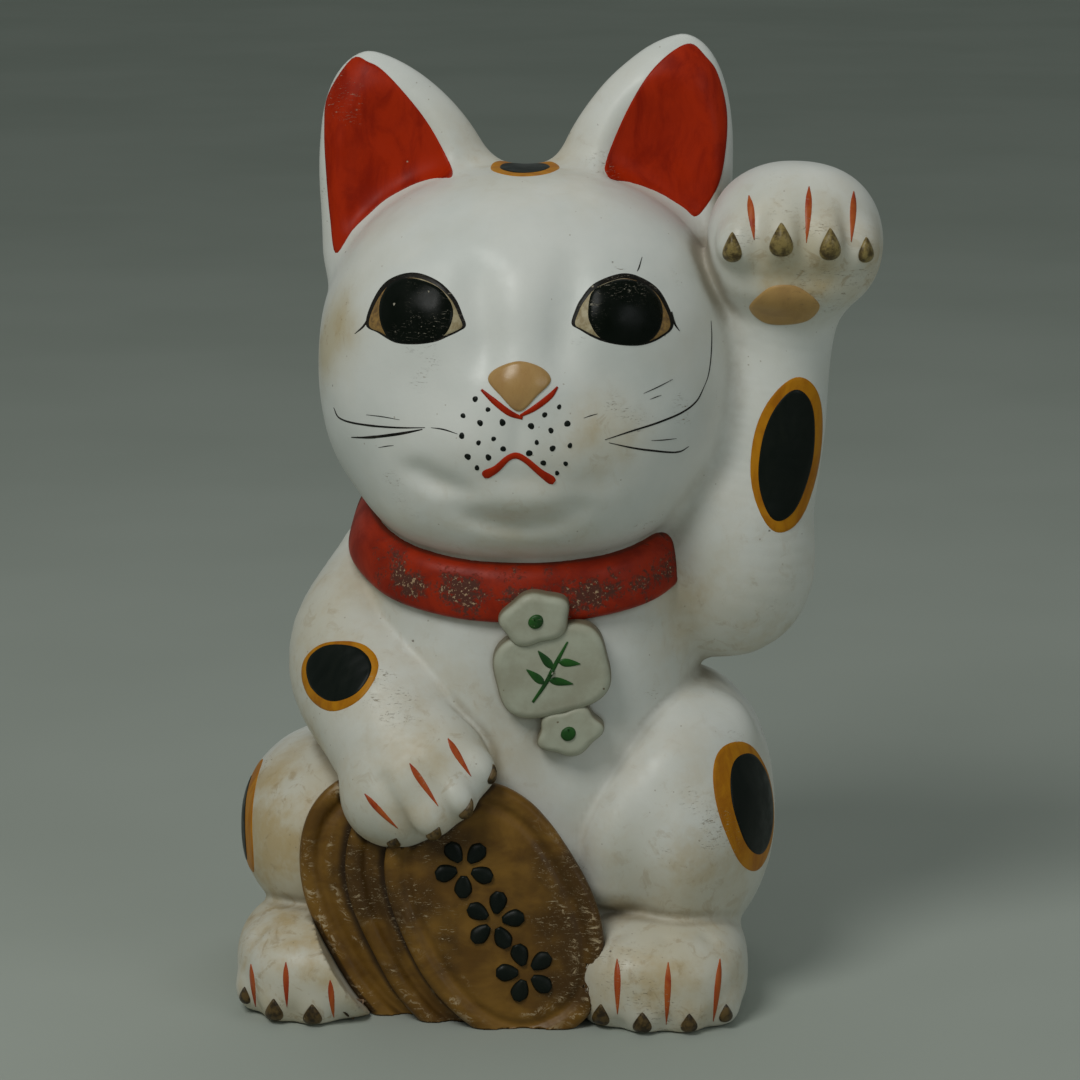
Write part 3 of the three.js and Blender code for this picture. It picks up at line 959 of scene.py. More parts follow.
def scuffs(shader, turn, amount):
    """Patches of short rubbed scratches: 1 in a scratch."""
    drawn = shader.stretched((1.0, 1.0, 5.0), turn)
    lines = shader.band(shader.noise(420, 4.0, 0.7, 1.2, drawn), 0.60, 0.66)
    patch = shader.band(shader.noise(34, 2.0), 0.66 - amount, 0.72 - amount)
    return shader.times(lines, patch)


def white_slip():
    """Satin white slip: rubbed to cream where hands touch it, with dirt and painted shade in its creases,
    pits and scuffs.
    """
    shader = Shader("white_slip", roughness=0.45, specular=0.4)
    crease = shader.mark("crease")
    rub = shader.mark("rub")
    cloudy = shader.noise(22, 4.0, 0.6)
    colour = shader.mix(shader.band(cloudy, 0.35, 0.7), (0.77, 0.775, 0.74), (0.68, 0.70, 0.67))
    smudged = shader.band(shader.noise(13, 5.0, 0.6), 0.48, 0.72, 0.0, 0.34)
    colour = shader.mix(smudged, colour, (0.64, 0.58, 0.44))
    tint = shader.times(rub, shader.band(shader.noise(26, 3.0), 0.25, 0.6, 0.25, 0.75))
    colour = shader.mix(tint, colour, (0.58, 0.49, 0.31))
    warm = shader.times(shader.band(shader.noise(48, 5.0, 0.65), 0.42, 0.68), rub)
    colour = shader.mix(shader.times(warm, 0.8), colour, (0.52, 0.38, 0.18))
    brown = shader.times(shader.band(shader.noise(130, 5.0, 0.7, 0.8), 0.54, 0.66), rub)
    colour = shader.mix(shader.times(brown, 0.55), colour, (0.40, 0.29, 0.15))
    # Dirt and painted shade: darker brown where the crease mark says the slip is shut in or touched by
    # another piece.
    dirt_and_shade = shader.times(shader.band(shader.noise(90, 4.0, 0.6), 0.2, 0.75, 0.55, 1.0), crease)
    colour = shader.mix(shader.band(dirt_and_shade, 0.12, 0.75, 0.0, 0.7), colour, (0.27, 0.22, 0.14))
    pits = flecks(shader, 240, 0.06, 0.10)
    specks = flecks(shader, 520, 0.11, 0.14)
    scratched = scuffs(shader, (0.4, 0.3, 0.2), 0.05)
    colour = shader.mix(shader.times(scratched, 0.75), colour, (0.30, 0.22, 0.13))
    colour = shader.mix(shader.times(pits, 0.8), colour, (0.13, 0.10, 0.07))
    colour = shader.mix(shader.times(specks, 0.55), colour, (0.28, 0.22, 0.15))
    roughness = shader.band(shader.noise(120, 4.0, 0.6), 0.3, 0.75, 0.36, 0.52)
    roughness = shader.plus(roughness, shader.times(dirt_and_shade, 0.3))
    roughness = shader.plus(roughness, shader.times(scratched, 0.25))
    normal = shader.bump(shader.noise(75, 3.0, 0.5), 0.45, 0.5)
    normal = shader.bump(shader.noise(620, 3.0, 0.6), 0.06, 0.6, normal)
    hollows = shader.plus(pits, scratched)
    normal = shader.bump(shader.rest(hollows), 0.12, 0.8, normal)
    return shader.finish(colour, roughness, normal)


def enamel(name, main, deep, worn, roughness=0.3, wear=0.08, specular=0.25):
    """Brushed enamel: streaks between two colours, with chips down to `worn`."""
    shader = Shader(name, roughness=roughness, specular=specular)
    streaks = shader.noise(70, 5.0, 0.65, 0.6, shader.stretched((1.6, 1.6, 0.7), (0.2, 0.3, 0.0)))
    colour = shader.mix(shader.band(streaks, 0.36, 0.68), main, deep)
    chips = flecks(shader, 380, 0.12, wear)
    rubs = shader.times(scuffs(shader, (0.9, 0.2, 0.7), wear), 0.7)
    chips = shader.maths("MAXIMUM", chips, rubs)
    colour = shader.mix(chips, colour, worn)
    rough = shader.band(shader.noise(160, 3.0), 0.3, 0.7, roughness - 0.06, roughness + 0.1)
    rough = shader.plus(rough, shader.times(chips, 0.3))
    normal = shader.bump(shader.noise(240, 3.0, 0.6), 0.08, 0.6)
    normal = shader.bump(shader.rest(chips), 0.1, 0.8, normal)
    return shader.finish(colour, rough, normal)


def collar_enamel():
    """The collar's red, rubbed through to dark bronze and cream specks in patches."""
    shader = Shader("collar_red", roughness=0.42, specular=0.2)
    streaks = shader.noise(60, 5.0, 0.65, 0.5)
    colour = shader.mix(shader.band(streaks, 0.35, 0.7), (0.38, 0.024, 0.003), (0.22, 0.012, 0.002))
    patchy = shader.plus(shader.noise(110, 3.0, 0.6), shader.times(shader.noise(760, 4.0, 0.7), 0.9))
    near = shader.plus(patchy, shader.times(shader.mark("rub"), 0.42))
    worn = shader.band(near, 1.12, 1.32)
    colour = shader.mix(shader.times(worn, 0.85), colour, (0.065, 0.034, 0.024))
    cream = shader.times(shader.band(shader.noise(1100, 3.0, 0.6), 0.57, 0.64), shader.band(near, 1.2, 1.36))
    colour = shader.mix(cream, colour, (0.50, 0.34, 0.20))
    # Painted shade with dirt: darker where the collar meets the skin, under the chin and along the arms.
    colour = shader.mix(shader.band(shader.mark("crease"), 0.35, 0.9, 0.0, 0.6), colour, (0.06, 0.02, 0.01))
    rough = shader.plus(shader.band(streaks, 0.3, 0.7, 0.36, 0.48), shader.times(worn, 0.25))
    normal = shader.bump(shader.noise(190, 3.0, 0.6), 0.12, 0.6)
    normal = shader.bump(shader.rest(worn), 0.12, 0.8, normal)
    return shader.finish(colour, rough, normal)


def coin_paint():
    """Streaky brown gold over dark brown, rubbed back to cream along the rims."""
    shader = Shader("coin_gold_brown", roughness=0.45, specular=0.25)
    brushed = shader.stretched((1.0, 1.0, 1.5), (0.0, COIN_SPIN, 0.0))
    streaks = shader.noise(60, 4.0, 0.6, 0.4, brushed)
    colour = shader.mix(shader.band(streaks, 0.33, 0.68), (0.130, 0.060, 0.009), (0.230, 0.115, 0.018))
    dark = shader.band(shader.noise(34, 4.0), 0.44, 0.62, 0.0, 0.9)
    colour = shader.mix(dark, colour, (0.062, 0.029, 0.006))
    # Painted shade with dirt: darker in the groove and where the coin meets the other coins and the skin.
    dirt_and_shade = shader.band(shader.mark("crease"), 0.25, 0.85, 0.0, 0.85)
    colour = shader.mix(dirt_and_shade, colour, (0.030, 0.016, 0.007))
    flaking = shader.band(shader.noise(190, 6.0, 0.8, 1.5, brushed), 0.53, 0.59)
    flaking = shader.times(flaking, shader.band(shader.noise(42, 2.0), 0.42, 0.56))
    rim = shader.times(shader.mark("rim"), flaking)
    colour = shader.mix(rim, colour, (0.52, 0.40, 0.24))
    scratched = scuffs(shader, (0.2, 1.1, 0.3), 0.16)
    colour = shader.mix(shader.times(scratched, 0.8), colour, (0.50, 0.40, 0.25))
    rough = shader.band(shader.noise(170, 4.0), 0.3, 0.7, 0.36, 0.55)
    normal = shader.bump(streaks, 0.25, 0.7)
    normal = shader.bump(shader.noise(420, 3.0, 0.6), 0.08, 0.6, normal)
    return shader.finish(colour, rough, normal)


def eye_corners(side, middle_x):
    """The pale corners of an eye: brown on the outer side of the pupil and cream on the inner."""
    shader = Shader(side + "_eye_corners", roughness=0.4, specular=0.25)
    split = shader.add("ShaderNodeSeparateXYZ")
    shader.link(shader.place, split.inputs["Vector"])
    outward = -1 if side == "right" else 1
    away = shader.times(shader.maths("SUBTRACT", split.outputs["X"], middle_x * MM), outward)
    brushed = shader.noise(500, 4.0, 0.65)
    cream = shader.mix(shader.band(brushed, 0.35, 0.65), (0.46, 0.39, 0.25), (0.30, 0.23, 0.12))
    brown = shader.mix(shader.band(brushed, 0.35, 0.65), (0.36, 0.21, 0.065), (0.17, 0.10, 0.04))
    colour = shader.mix(shader.band(away, 0.0, 4 * MM), cream, brown)
    colour = shader.mix(flecks(shader, 700, 0.12, 0.2), colour, (0.07, 0.05, 0.03))
    return shader.finish(colour, None, shader.bump(brushed, 0.08, 0.6))


def grey_slip():
    """The amulet's grey-beige slip, darker on its sides with painted shade and dirt."""
    shader = Shader("grey_slip", roughness=0.5, specular=0.4)
    cloudy = shader.noise(85, 5.0, 0.6)
    colour = shader.mix(shader.band(cloudy, 0.35, 0.7), (0.46, 0.47, 0.37), (0.37, 0.36, 0.27))
    # Painted shade with dirt: the crease mark darkens the sides that face away from the front.
    dirt_and_shade = shader.band(shader.mark("crease"), 0.10, 0.7, 0.0, 0.8)
    colour = shader.mix(dirt_and_shade, colour, (0.14, 0.11, 0.06))
    colour = shader.mix(flecks(shader, 360, 0.1, 0.12), colour, (0.16, 0.12, 0.07))
    rough = shader.band(shader.noise(200, 3.0), 0.3, 0.7, 0.42, 0.58)
    normal = shader.bump(shader.noise(260, 4.0, 0.6), 0.15, 0.6)
    return shader.finish(colour, rough, normal)


def claw_slip(name, thin, thick):
    """Claws: brown slip, thin in some places and thick in others, over ochre."""
    shader = Shader(name, roughness=0.4, specular=0.3)
    cloudy = shader.noise(330, 4.0, 0.65)
    colour = shader.mix(shader.band(cloudy, 0.38, 0.62), thin, thick)
    colour = shader.mix(flecks(shader, 620, 0.12, 0.2), colour, (0.36, 0.26, 0.12))
    rough = shader.band(shader.noise(300, 3.0), 0.3, 0.7, 0.32, 0.5)
    return shader.finish(colour, rough, shader.bump(cloudy, 0.12, 0.6))


def bare_clay():
    """Unglazed buff clay with grog and wiping marks."""
    shader = Shader("bare_clay", roughness=0.85, specular=0.25)
    cloudy = shader.noise(60, 5.0, 0.6)
    colour = shader.mix(shader.band(cloudy, 0.35, 0.7), (0.46, 0.30, 0.18), (0.34, 0.21, 0.12))
    colour = shader.mix(flecks(shader, 480, 0.12, 0.3), colour, (0.16, 0.10, 0.06))
    rough = shader.band(shader.noise(200, 3.0), 0.3, 0.7, 0.78, 0.95)
    wiped = shader.noise(160, 4.0, 0.6, 0.5, shader.stretched((0.6, 3.0, 1.0)))
    normal = shader.bump(wiped, 0.3, 0.7)
    return shader.finish(colour, rough, shader.bump(shader.noise(900, 2.0), 0.1, 0.7, normal))


WHITE = white_slip()
CLAY = bare_clay()
# An enamel's colour, that of its streaks and that under its chips, then its roughness, wear and gloss.
RED = enamel("red_enamel", (0.44, 0.024, 0.002), (0.29, 0.012, 0.001), (0.50, 0.36, 0.26), 0.45, 0.05, 0.12)
COLLAR_RED = collar_enamel()
ORANGE = enamel("vermilion_strokes", (0.50, 0.115, 0.020), (0.36, 0.036, 0.008), (0.60, 0.50, 0.38), 0.4, 0.1)
OCHRE = enamel("ochre_enamel", (0.54, 0.22, 0.006), (0.38, 0.13, 0.004), (0.55, 0.42, 0.22), 0.42, 0.06, 0.15)
BLACK = enamel(
    "black_enamel", (0.004, 0.007, 0.005), (0.008, 0.011, 0.008), (0.12, 0.1, 0.07), 0.38, 0.04, 0.15
)
PUPIL = enamel(
    "pupil_enamel", (0.002, 0.004, 0.002), (0.004, 0.006, 0.004), (0.42, 0.38, 0.3), 0.27, 0.13, 0.11
)
LINE = enamel("line_enamel", (0.006, 0.006, 0.005), (0.022, 0.018, 0.014), (0.4, 0.35, 0.27), 0.4, 0.15, 0.15)
TAN = enamel("tan_enamel", (0.50, 0.30, 0.110), (0.42, 0.235, 0.085), (0.20, 0.13, 0.07), 0.26, 0.06, 0.4)
PAD_BROWN = enamel("pad_brown", (0.50, 0.30, 0.105), (0.41, 0.24, 0.085), (0.20, 0.13, 0.07), 0.42, 0.08)
GREEN = enamel("green_enamel", (0.020, 0.105, 0.014), (0.012, 0.060, 0.011), (0.30, 0.32, 0.2), 0.35, 0.05)
COIN = coin_paint()
GREY = grey_slip()
HORN = claw_slip("claw_brown", (0.30, 0.22, 0.075), (0.085, 0.056, 0.018))
DARK_HORN = claw_slip("claw_dark_brown", (0.130, 0.080, 0.026), (0.032, 0.020, 0.008))

# ---------------------------------------------------------------- fields of the pieces laid on the skin


def shared(one, other, softness):
    """The part that two distances have in common, with a rounded edge."""
    return -blend(-one, -other, softness)


def slab_of(edge, face, rounding):
    """A rounded slab, from the distances outside its outline and outside its faces."""
    edge = edge + rounding
    face = face + rounding
    corner = np.sqrt(np.maximum(edge, 0) ** 2 + np.maximum(face, 0) ** 2)
    return corner + np.minimum(np.maximum(edge, face), 0) - rounding


COLLAR_TILT = math.radians(16)
COLLAR_HALF_HEIGHT = 8.5
COLLAR_STANDS_OUT = 4.2
COLLAR_UP = np.array([0, -math.sin(COLLAR_TILT), math.cos(COLLAR_TILT)])
PRESSED_IN = 0.5  # how far a luted piece goes into the skin


def collar(x, y, z):
    """A round-edged band laid round the neck, pressed against the chin and the arms."""
    height = (y - COLLAR_AT[1]) * COLLAR_UP[1] + (z - COLLAR_AT[2]) * COLLAR_UP[2]
    wave = 0.35 * np.sin(x / 7.7) * np.sin(z / 4.1 + y / 9.3)
    out = torso(x, y, z) - COLLAR_STANDS_OUT + 0.012 * height**2 + wave
    band = shared(out, np.abs(height) - COLLAR_HALF_HEIGHT, 3.5)
    behind = np.minimum(skin(x, y, z), torso(x, y, z)) + PRESSED_IN
    return np.maximum(band, -behind)


COIN_ROUNDING = 2.6
COIN_RIM = 6.6  # from the edge to the groove inside the rim
COIN_GAP = 0.15
COIN_FLOOR = 0.2  # how far above the ground a coin ends


def whole_coin(number):
    """The field of a coin before anything else is kept out of it."""
    place = COIN_PLACES[number]

    def value(x, y, z):
        across, along, out = coin_axes(place, x, y, z)
        edge = coin_outline(number, across, along)
        inward = -edge
        groove = 1.4 * np.exp(-(((inward - COIN_RIM) / 1.9) ** 2))
        sunk = 0.5 / (1 + np.exp(-(inward - COIN_RIM) / 0.8))
        beaten = 0.16 * np.sin(across / 2.9 + 1.3 * np.sin(along / 5.3)) * np.sin(along / 3.7 + number)
        front = out - COIN_THICKNESS / 2 + groove + sunk + beaten
        face = np.maximum(front, -out - COIN_THICKNESS / 2)
        return slab_of(edge + 0.25 * np.sin(along / 6.1 + number), face, COIN_ROUNDING)

    return value


def coin(number):
    """The field of a coin, kept out of the skin, the ground and the coins in front of it."""
    whole = whole_coin(number)

    def value(x, y, z):
        total = whole(x, y, z)
        for ahead, place in enumerate(COIN_PLACES[:number]):
            across, along, out = coin_axes(place, x, y, z)
            other = np.maximum(coin_outline(ahead, across, along), np.abs(out) - COIN_THICKNESS / 2)
            total = np.maximum(total, COIN_GAP - other)
        total = np.maximum(total, -skin(x, y, z) - PRESSED_IN)
        return np.maximum(total, COIN_FLOOR - z)

    return value


AMULET_TILT = math.radians(15)
AMULET_RIGHT = np.array([math.cos(AMULET_TILT), 0, math.sin(AMULET_TILT)])
AMULET_UP = np.array([-math.sin(AMULET_TILT), 0, math.cos(AMULET_TILT)])
FRONT = np.array([0, -1.0, 0])


def tile(node, half_sizes, squareness, lobes, rounding, drop=0.0):
    """A tile of the amulet, hung `drop` lower than its node. `lobes` lists the waves of its outline: how
    many, how deep and where the first one is."""
    half_width, half_height, half_depth = half_sizes
    place = middle(node) - (0, 0, drop)
    front_y = box(node)[0][1]

    def value(x, y, z):
        right = (x - place[0]) * AMULET_RIGHT[0] + (z - place[2]) * AMULET_RIGHT[2]
        up = (x - place[0]) * AMULET_UP[0] + (z - place[2]) * AMULET_UP[2]
        angle = np.arctan2(up / half_height, right / half_width)
        waves = [depth * np.cos(count * (angle - math.radians(first))) for count, depth, first in lobes]
        swell = 1 + sum(waves)
        edge = rounded((right / swell, up / swell), (half_width, half_height), squareness)
        bulge = 0.035 * np.maximum(-edge, 0)
        front = front_y - y - bulge + 0.5
        total = slab_of(edge, np.maximum(front, y - front_y - 2 * half_depth), rounding)
        return np.maximum(total, -skin(x, y, z) - PRESSED_IN)

    return value


KNOT = tile("amulet_knot", (10.6, 8.4, 5.5), 2.2, [(5, 0.06, 90), (2, 0.03, 0)], 3.0, drop=1.6)
PLATE = tile("amulet_plate", (18.0, 14.2, 5.5), 3.0, [(4, 0.012, 40)], 2.8)
DROP = tile("amulet_drop", (10.0, 7.6, 5.0), 2.2, [(5, 0.09, -90), (1, 0.08, -90)], 2.4)

# ---------------------------------------------------------------- marks kept on the points of a piece


CREASE_REACH = 4.5  # how far off a surface shuts a point of a crease in
CONTACT_REACH = 2.5  # how far off a neighbouring piece does
CONTACT_SHADE_AND_DIRT = 0.75  # painted shade and dirt on the skin along a neighbouring piece, as a share of that in a crease


def hemmed(field, points, normals, reach):
    """How closely a field shuts a point in, seen along its normal: 0 in the open and 1 against it."""
    return np.clip(1 - at_points(field, points + reach * normals) / reach, 0, 1)


RUBBED = [  # where hands and shelves rub the slip: place, spread in millimetres and strength
    (HEAD_AT + (-60, -28, 13), 6.5, 1.2),
    (HEAD_AT + (-63, -18, 2), 6.5, 1.2),
    (HEAD_AT + (24, -56, -17), 8, 0.7),
    (HEAD_AT + (0, 10, 56), 24, 0.35),
    (HEAD_AT + (0, 55, 10), 30, 0.4),
    (middle("left_haunch") + (-4, -44, -4), 20, 0.65),
    (middle("right_haunch") + (-10, -40, 6), 24, 1.0),
    (middle("right_haunch") + (-14, -20, -20), 26, 1.0),
    (middle("left_foot") + (0, -32, -6), 20, 0.9),
    (middle("right_foot") + (0, -32, -6), 22, 1.2),
    (HEAD_AT + (-4, -52, -50), 20, 0.35),
    (middle("raised_arm") + (-8, -14, -44), 18, 0.8),
    (middle("lowered_arm") + (12, -44, -22), 16, 0.5),
    (middle("lowered_arm") + (-22, 0, 22), 18, 0.55),
    (PAW_AT + (0, -24, 4), 16, 0.4),
    (PAW_AT + (-2, -24, -7), 10, 1.0),
    (PAW_AT + (22, -14, -9), 9, 1.0),
    (BODY_AT + (0, 60, -20), 34, 0.5),
    (BODY_AT + (40, 40, -50), 26, 0.6),
    (BODY_AT + (-50, 36, -50), 26, 0.6),
    (BODY_AT + (-16, -56, 8), 18, 0.4),
]


def rubbed(points):
    """How much a point is rubbed, from 0 to 1."""
    total = np.zeros(len(points))
    for place, spread, strength in RUBBED:
        total += strength * np.exp(-((points - place) ** 2).sum(axis=1) / (2 * spread**2))
    return np.clip(total, 0, 1)


def modelled(name, field, low, high, pitch, material, slot, marks=None):
    """A solid piece made straight from its field, in place of the CAD node of the same name."""
    vertices, faces = net(field, low, high, pitch)
    normals = unit(slopes(field, vertices)[1])
    values = {mark: value(vertices, normals) for mark, value in (marks or {}).items()}
    return piece(name, vertices, faces, [material], [name], normals, marks=values)


# ---------------------------------------------------------------- the clay skin

OPENING = 0.586 * (box("base_slab")[1] - SLAB_AT)[:2]
OPENING_SQUARENESS = 2.4
BASE_DEPTH = 2  # the skin below this height belongs to the base


def base_opening(points):
    """Below zero in the opening of the base, where the slab closes it."""
    outside = rounded((points[:, :2] - SLAB_AT[:2]).T, OPENING, OPENING_SQUARENESS)
    return np.maximum(outside, points[:, 2] - BASE_DEPTH)


def behind_seam(points):
    """Above zero behind the seam between the two mould halves."""
    return points[:, 1] - SEAM_Y


def clay_sheets():
    """The skin as one mesh, parted along the lines where one form takes over from the next."""
    low, high = box(*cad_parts)
    vertices, faces = net(skin, low, high, PITCH)
    vertices, _, faces = cut(vertices, faces, base_opening)
    rest = {name: form for name, (form, _) in SKIN.items()}
    sheets = {}
    for name in reversed(SKIN):
        form = rest.pop(name)
        if not rest:
            sheets[name] = faces
            break

        def nearer(points, form=form):
            others = [at_points(other, points) for other in rest.values()]
            return at_points(form, points) - np.min(others, axis=0)

        vertices, sheets[name], faces = cut(vertices, faces, nearer)
    for name in ("body", "head"):
        whole = sheets.pop(name)
        vertices, sheets[name + "_front"], sheets[name + "_back"] = cut(vertices, whole, behind_seam)
    return vertices, sheets


def clay_pieces():
    """Every piece of the skin as a wall of clay, with its marks."""
    vertices, sheets = clay_sheets()
    normals = unit(slopes(skin, vertices)[1])
    # The crease mark is painted shade with dirt: it darkens the slip where it is shut in and along the
    # collar, coins and amulet.
    crease = hemmed(skin, vertices, normals, CREASE_REACH)
    for laid_on in (collar, coin(0), coin(1), coin(2), PLATE, KNOT, DROP):
        contact = hemmed(laid_on, vertices, normals, CONTACT_REACH)
        crease = np.maximum(crease, CONTACT_SHADE_AND_DIRT * contact)
    rub = rubbed(vertices)
    for name, faces in sheets.items():
        used, faces = np.unique(faces, return_inverse=True)
        faces = faces.reshape(-1, 3)
        points, every, outward, outside = shell(vertices[used], faces, normals[used])
        marks = {"crease": np.tile(crease[used], 2), "rub": np.tile(rub[used], 2)}
        piece(name, points, every, [WHITE, CLAY], [name], outward, outside, marks)


clay_pieces()


VENT_RADIUS = 14
SLAB_GAP = 0.3  # left round the slab and under it
SLAB_TOP = 6.5
SLAB_ROUNDING = 0.8


def closing_slab():
    """The slab in the opening of the base, with its round vent."""
    vent_at = SLAB_AT[:2] + (5, -2)
    half_thickness = (SLAB_TOP - SLAB_GAP) / 2

    def value(x, y, z):
        plan = rounded((x - SLAB_AT[0], y - SLAB_AT[1]), OPENING - SLAB_GAP, OPENING_SQUARENESS)
        vent = VENT_RADIUS - np.sqrt((x - vent_at[0]) ** 2 + (y - vent_at[1]) ** 2)
        faces = np.abs(z - SLAB_GAP - half_thickness) - half_thickness
        return slab_of(np.maximum(plan, vent), faces, SLAB_ROUNDING)

    low, high = SLAB_AT - (*OPENING, 0), SLAB_AT + (*OPENING, 0)
    low[2], high[2] = 0, SLAB_TOP + 0.5
    modelled("base_slab", value, low, high, FINE_PITCH, CLAY, "bare_clay")


closing_slab()

# ---------------------------------------------------------------- collar, coins, amulet and claws


def near_skin(points, normals):
    """A mark for painted shade and dirt where a piece meets the skin."""
    return hemmed(skin, points, normals, CONTACT_REACH)


def coin_rim(points, _):
    """A mark for the worn ridge of a coin and the edge inside its groove."""
    nearest = np.zeros(len(points))
    for number, place in enumerate(COIN_PLACES):
        across, along, out = coin_axes(place, *points.T)
        inward = -coin_outline(number, across, along)
        on_face = np.abs(out - COIN_THICKNESS / 2) < 2.5
        ridge = np.exp(-(((inward - 2.6) / 1.6) ** 2))
        inner_edge = 0.9 * np.exp(-(((inward - COIN_RIM - 3.4) / 0.9) ** 2))
        nearest = np.maximum(nearest, on_face * np.maximum(ridge, inner_edge))
    return nearest


COLLAR_WORN = ((-38, 8), (-20, 11), (3, 7), (24, 11), (42, 7))  # places across its front, and spreads


def collar_wear(points, _):
    """The worn patches along the middle line of the collar's front, with fainter ones at the back."""
    offset = points - COLLAR_AT
    midline = np.exp(-(((offset @ COLLAR_UP) / 5.5) ** 2))
    front = sum(np.exp(-(((offset[:, 0] - across) / spread) ** 2)) for across, spread in COLLAR_WORN)
    return midline * np.where(offset[:, 1] < 0, front, 0.5)


COLLAR_MARKS = {"crease": near_skin, "rub": collar_wear}
low, high = box("collar")
modelled("collar", collar, low - 4, high + 4, COLLAR_PITCH, COLLAR_RED, "red_enamel", COLLAR_MARKS)


def coin_shade_and_dirt(points, normals):
    """Painted shade, with some dirt, in a coin's groove and against what it touches."""
    near = [hemmed(coin(number), points, normals, CREASE_REACH) for number in range(3)]
    return np.maximum(np.max(near, axis=0), hemmed(skin, points, normals, CONTACT_REACH))


COIN_MARKS = {"crease": coin_shade_and_dirt, "rim": coin_rim}
for number, name in enumerate(("coin_front", "coin_middle", "coin_back")):
    modelled(name, coin(number), *box(name), FINE_PITCH, COIN, "gold_brown", COIN_MARKS)


def side_shade_and_dirt(_, normals):
    """Painted shade, with dirt, on an amulet piece's sides: darker the more they face away from the front."""
    return np.clip(1 + normals[:, 1] * 1.25, 0, 1)


for name, field in (("amulet_knot", KNOT), ("amulet_plate", PLATE), ("amulet_drop", DROP)):
    low, high = box(name)
    modelled(name, field, low - 2, high + 2, FINEST_PITCH, GREY, "grey_slip", {"crease": side_shade_and_dirt})

CLAW_HEIGHT = 0.2  # how far a claw stands out at its edge
CLAW_DOME = 1.2  # and how much farther in its middle
CLAW_FLOOR = 1.0  # how far above the ground a claw ends


def claw(name, place, direction, lean, spread, material):
    """A claw pressed on the toe as a drop of clay. `lean` turns its point from straight up."""
    low, high = box(name)
    half = spread * (high - low)[[0, 2]] / 2
    angle = np.linspace(0, 2 * math.pi, 32, endpoint=False)
    across = np.sin(angle) * (0.62 - 0.38 * np.cos(angle)) / 0.74
    drop = np.stack([half[0] * across, half[1] * np.cos(angle)], axis=1)[::-1]
    drop = turned(drop, lean)
    drop[:, 1] = np.maximum(drop[:, 1], CLAW_FLOOR - place[2])
    made = film(name, drop, Aim(place, *direction), material, CLAW_HEIGHT, CLAW_DOME)
    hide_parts(name)


STRAIGHT_ON = [(0, 0)] * 4
ROUND_THE_PAW = [(50, -15), (25, -30), (5, -35), (-10, -35)]
CLAW_FIT = {  # a paw's claws: the directions they face, how they lean, how large they are, and their slip
    "raised": (STRAIGHT_ON, 0, 1.15, HORN),
    "lowered": (ROUND_THE_PAW, -20, 0.85, DARK_HORN),
    "left_foot": (STRAIGHT_ON, 0, 1.1, DARK_HORN),
    "right_foot": (STRAIGHT_ON, 0, 1.1, DARK_HORN),
}
for paw, (directions, lean, spread, material) in CLAW_FIT.items():
    for number, (place, direction) in enumerate(zip(CLAWS[paw], directions), start=1):
        claw(f"{paw}_claw_{number}", place, direction, lean, spread, material)

# ---------------------------------------------------------------- the painted face


def tapered(points, width, start=0.3, end=0.3):
    """A brush line through some points, thick in its middle and thinned to a share of it at each end."""
    count = len(points) - 1
    line = []
    for i, (across, up) in enumerate(points):
        share = i / count
        ends = start * (1 - share) + end * share
        line.append((across, up, width * (ends + (1 - ends) * math.sin(math.pi * share) ** 0.7)))
    return line


def dash(start, end, width):
    """A short brush dash, thick a third of the way along."""
    a, b = np.asarray(start, float), np.asarray(end, float)
    shares = ((0.0, 0.15), (0.18, 0.85), (0.42, 1.0), (0.75, 0.6), (1.0, 0.1))
    return [(*(a + (b - a) * share), width * size) for share, size in shares]


FACE = Aim(HEAD_AT)


def shrunk(outline, by, shift=(0, 0)):
    """An outline drawn in by some millimetres and moved."""
    centre = (outline.min(axis=0) + outline.max(axis=0)) / 2
    away = outline - centre
    length = np.linalg.norm(away, axis=1, keepdims=True)
    return centre + away * np.maximum(1 - by / length, 0.1) + shift


def eye(side, almond, pupil, lash):
    """An eye: a black almond, pale corners inside it, and a glossy pupil that stands out."""
    outline = loop(almond)
    film(side + "_eye_line", outline, FACE, LINE, height=0.10)
    corners = eye_corners(side, HEAD_AT[0] + outline[:, 0].mean())
    film(side + "_eye_corners", shrunk(outline, 1.1, (0, -0.35)), FACE, corners, height=0.18)
    film(side + "_pupil", loop(pupil), FACE, PUPIL, height=0.26, dome=0.9)
    strokes(side + "_eye_lash", [tapered(lash, 0.65, start=0.7, end=0.15)], FACE, LINE, height=0.2)


RIGHT_EYE = [
    (-48.9, 13.6), (-46.6, 21.3), (-41.9, 27.5), (-34.1, 30.4), (-26.4, 28.6), (-21.0, 23.8), (-18.3, 18.1),
    (-17.5, 15.2), (-19.6, 13.7), (-22.9, 12.2), (-27.1, 10.4), (-33.2, 9.3), (-39.4, 9.3), (-44.9, 11.6),
]
RIGHT_PUPIL = [
    (-44.6, 17.9), (-43.8, 22.7), (-40.5, 27.0), (-34.1, 28.8), (-26.6, 27.0), (-22.5, 23.0),
    (-21.3, 18.7), (-23.2, 13.5), (-27.1, 10.8), (-33.2, 9.7), (-40.2, 9.6), (-43.4, 12.9),
]
LEFT_EYE = [
    (16.7, 14.2), (14.3, 15.7), (15.0, 18.9), (17.1, 23.2), (21.7, 28.1), (30.1, 30.5), (37.1, 28.3),
    (42.5, 23.5), (46.1, 14.4), (42.4, 10.7), (36.2, 8.9), (29.3, 9.4), (22.7, 11.2),
]
LEFT_PUPIL = [
    (19.3, 19.5), (20.5, 25.3), (24.9, 27.9), (30.9, 28.9), (37.6, 26.5), (41.7, 22.0),
    (42.6, 17.4), (41.2, 12.4), (37.0, 9.4), (30.0, 9.5), (23.2, 11.7), (20.1, 15.8),
]
eye("right", RIGHT_EYE, RIGHT_PUPIL, [(-47.3, 16.8), (-49.3, 13.2), (-52.2, 10.3)])
eye("left", LEFT_EYE, LEFT_PUPIL, [(45.2, 18.0), (46.2, 14.4), (47.7, 12.0)])

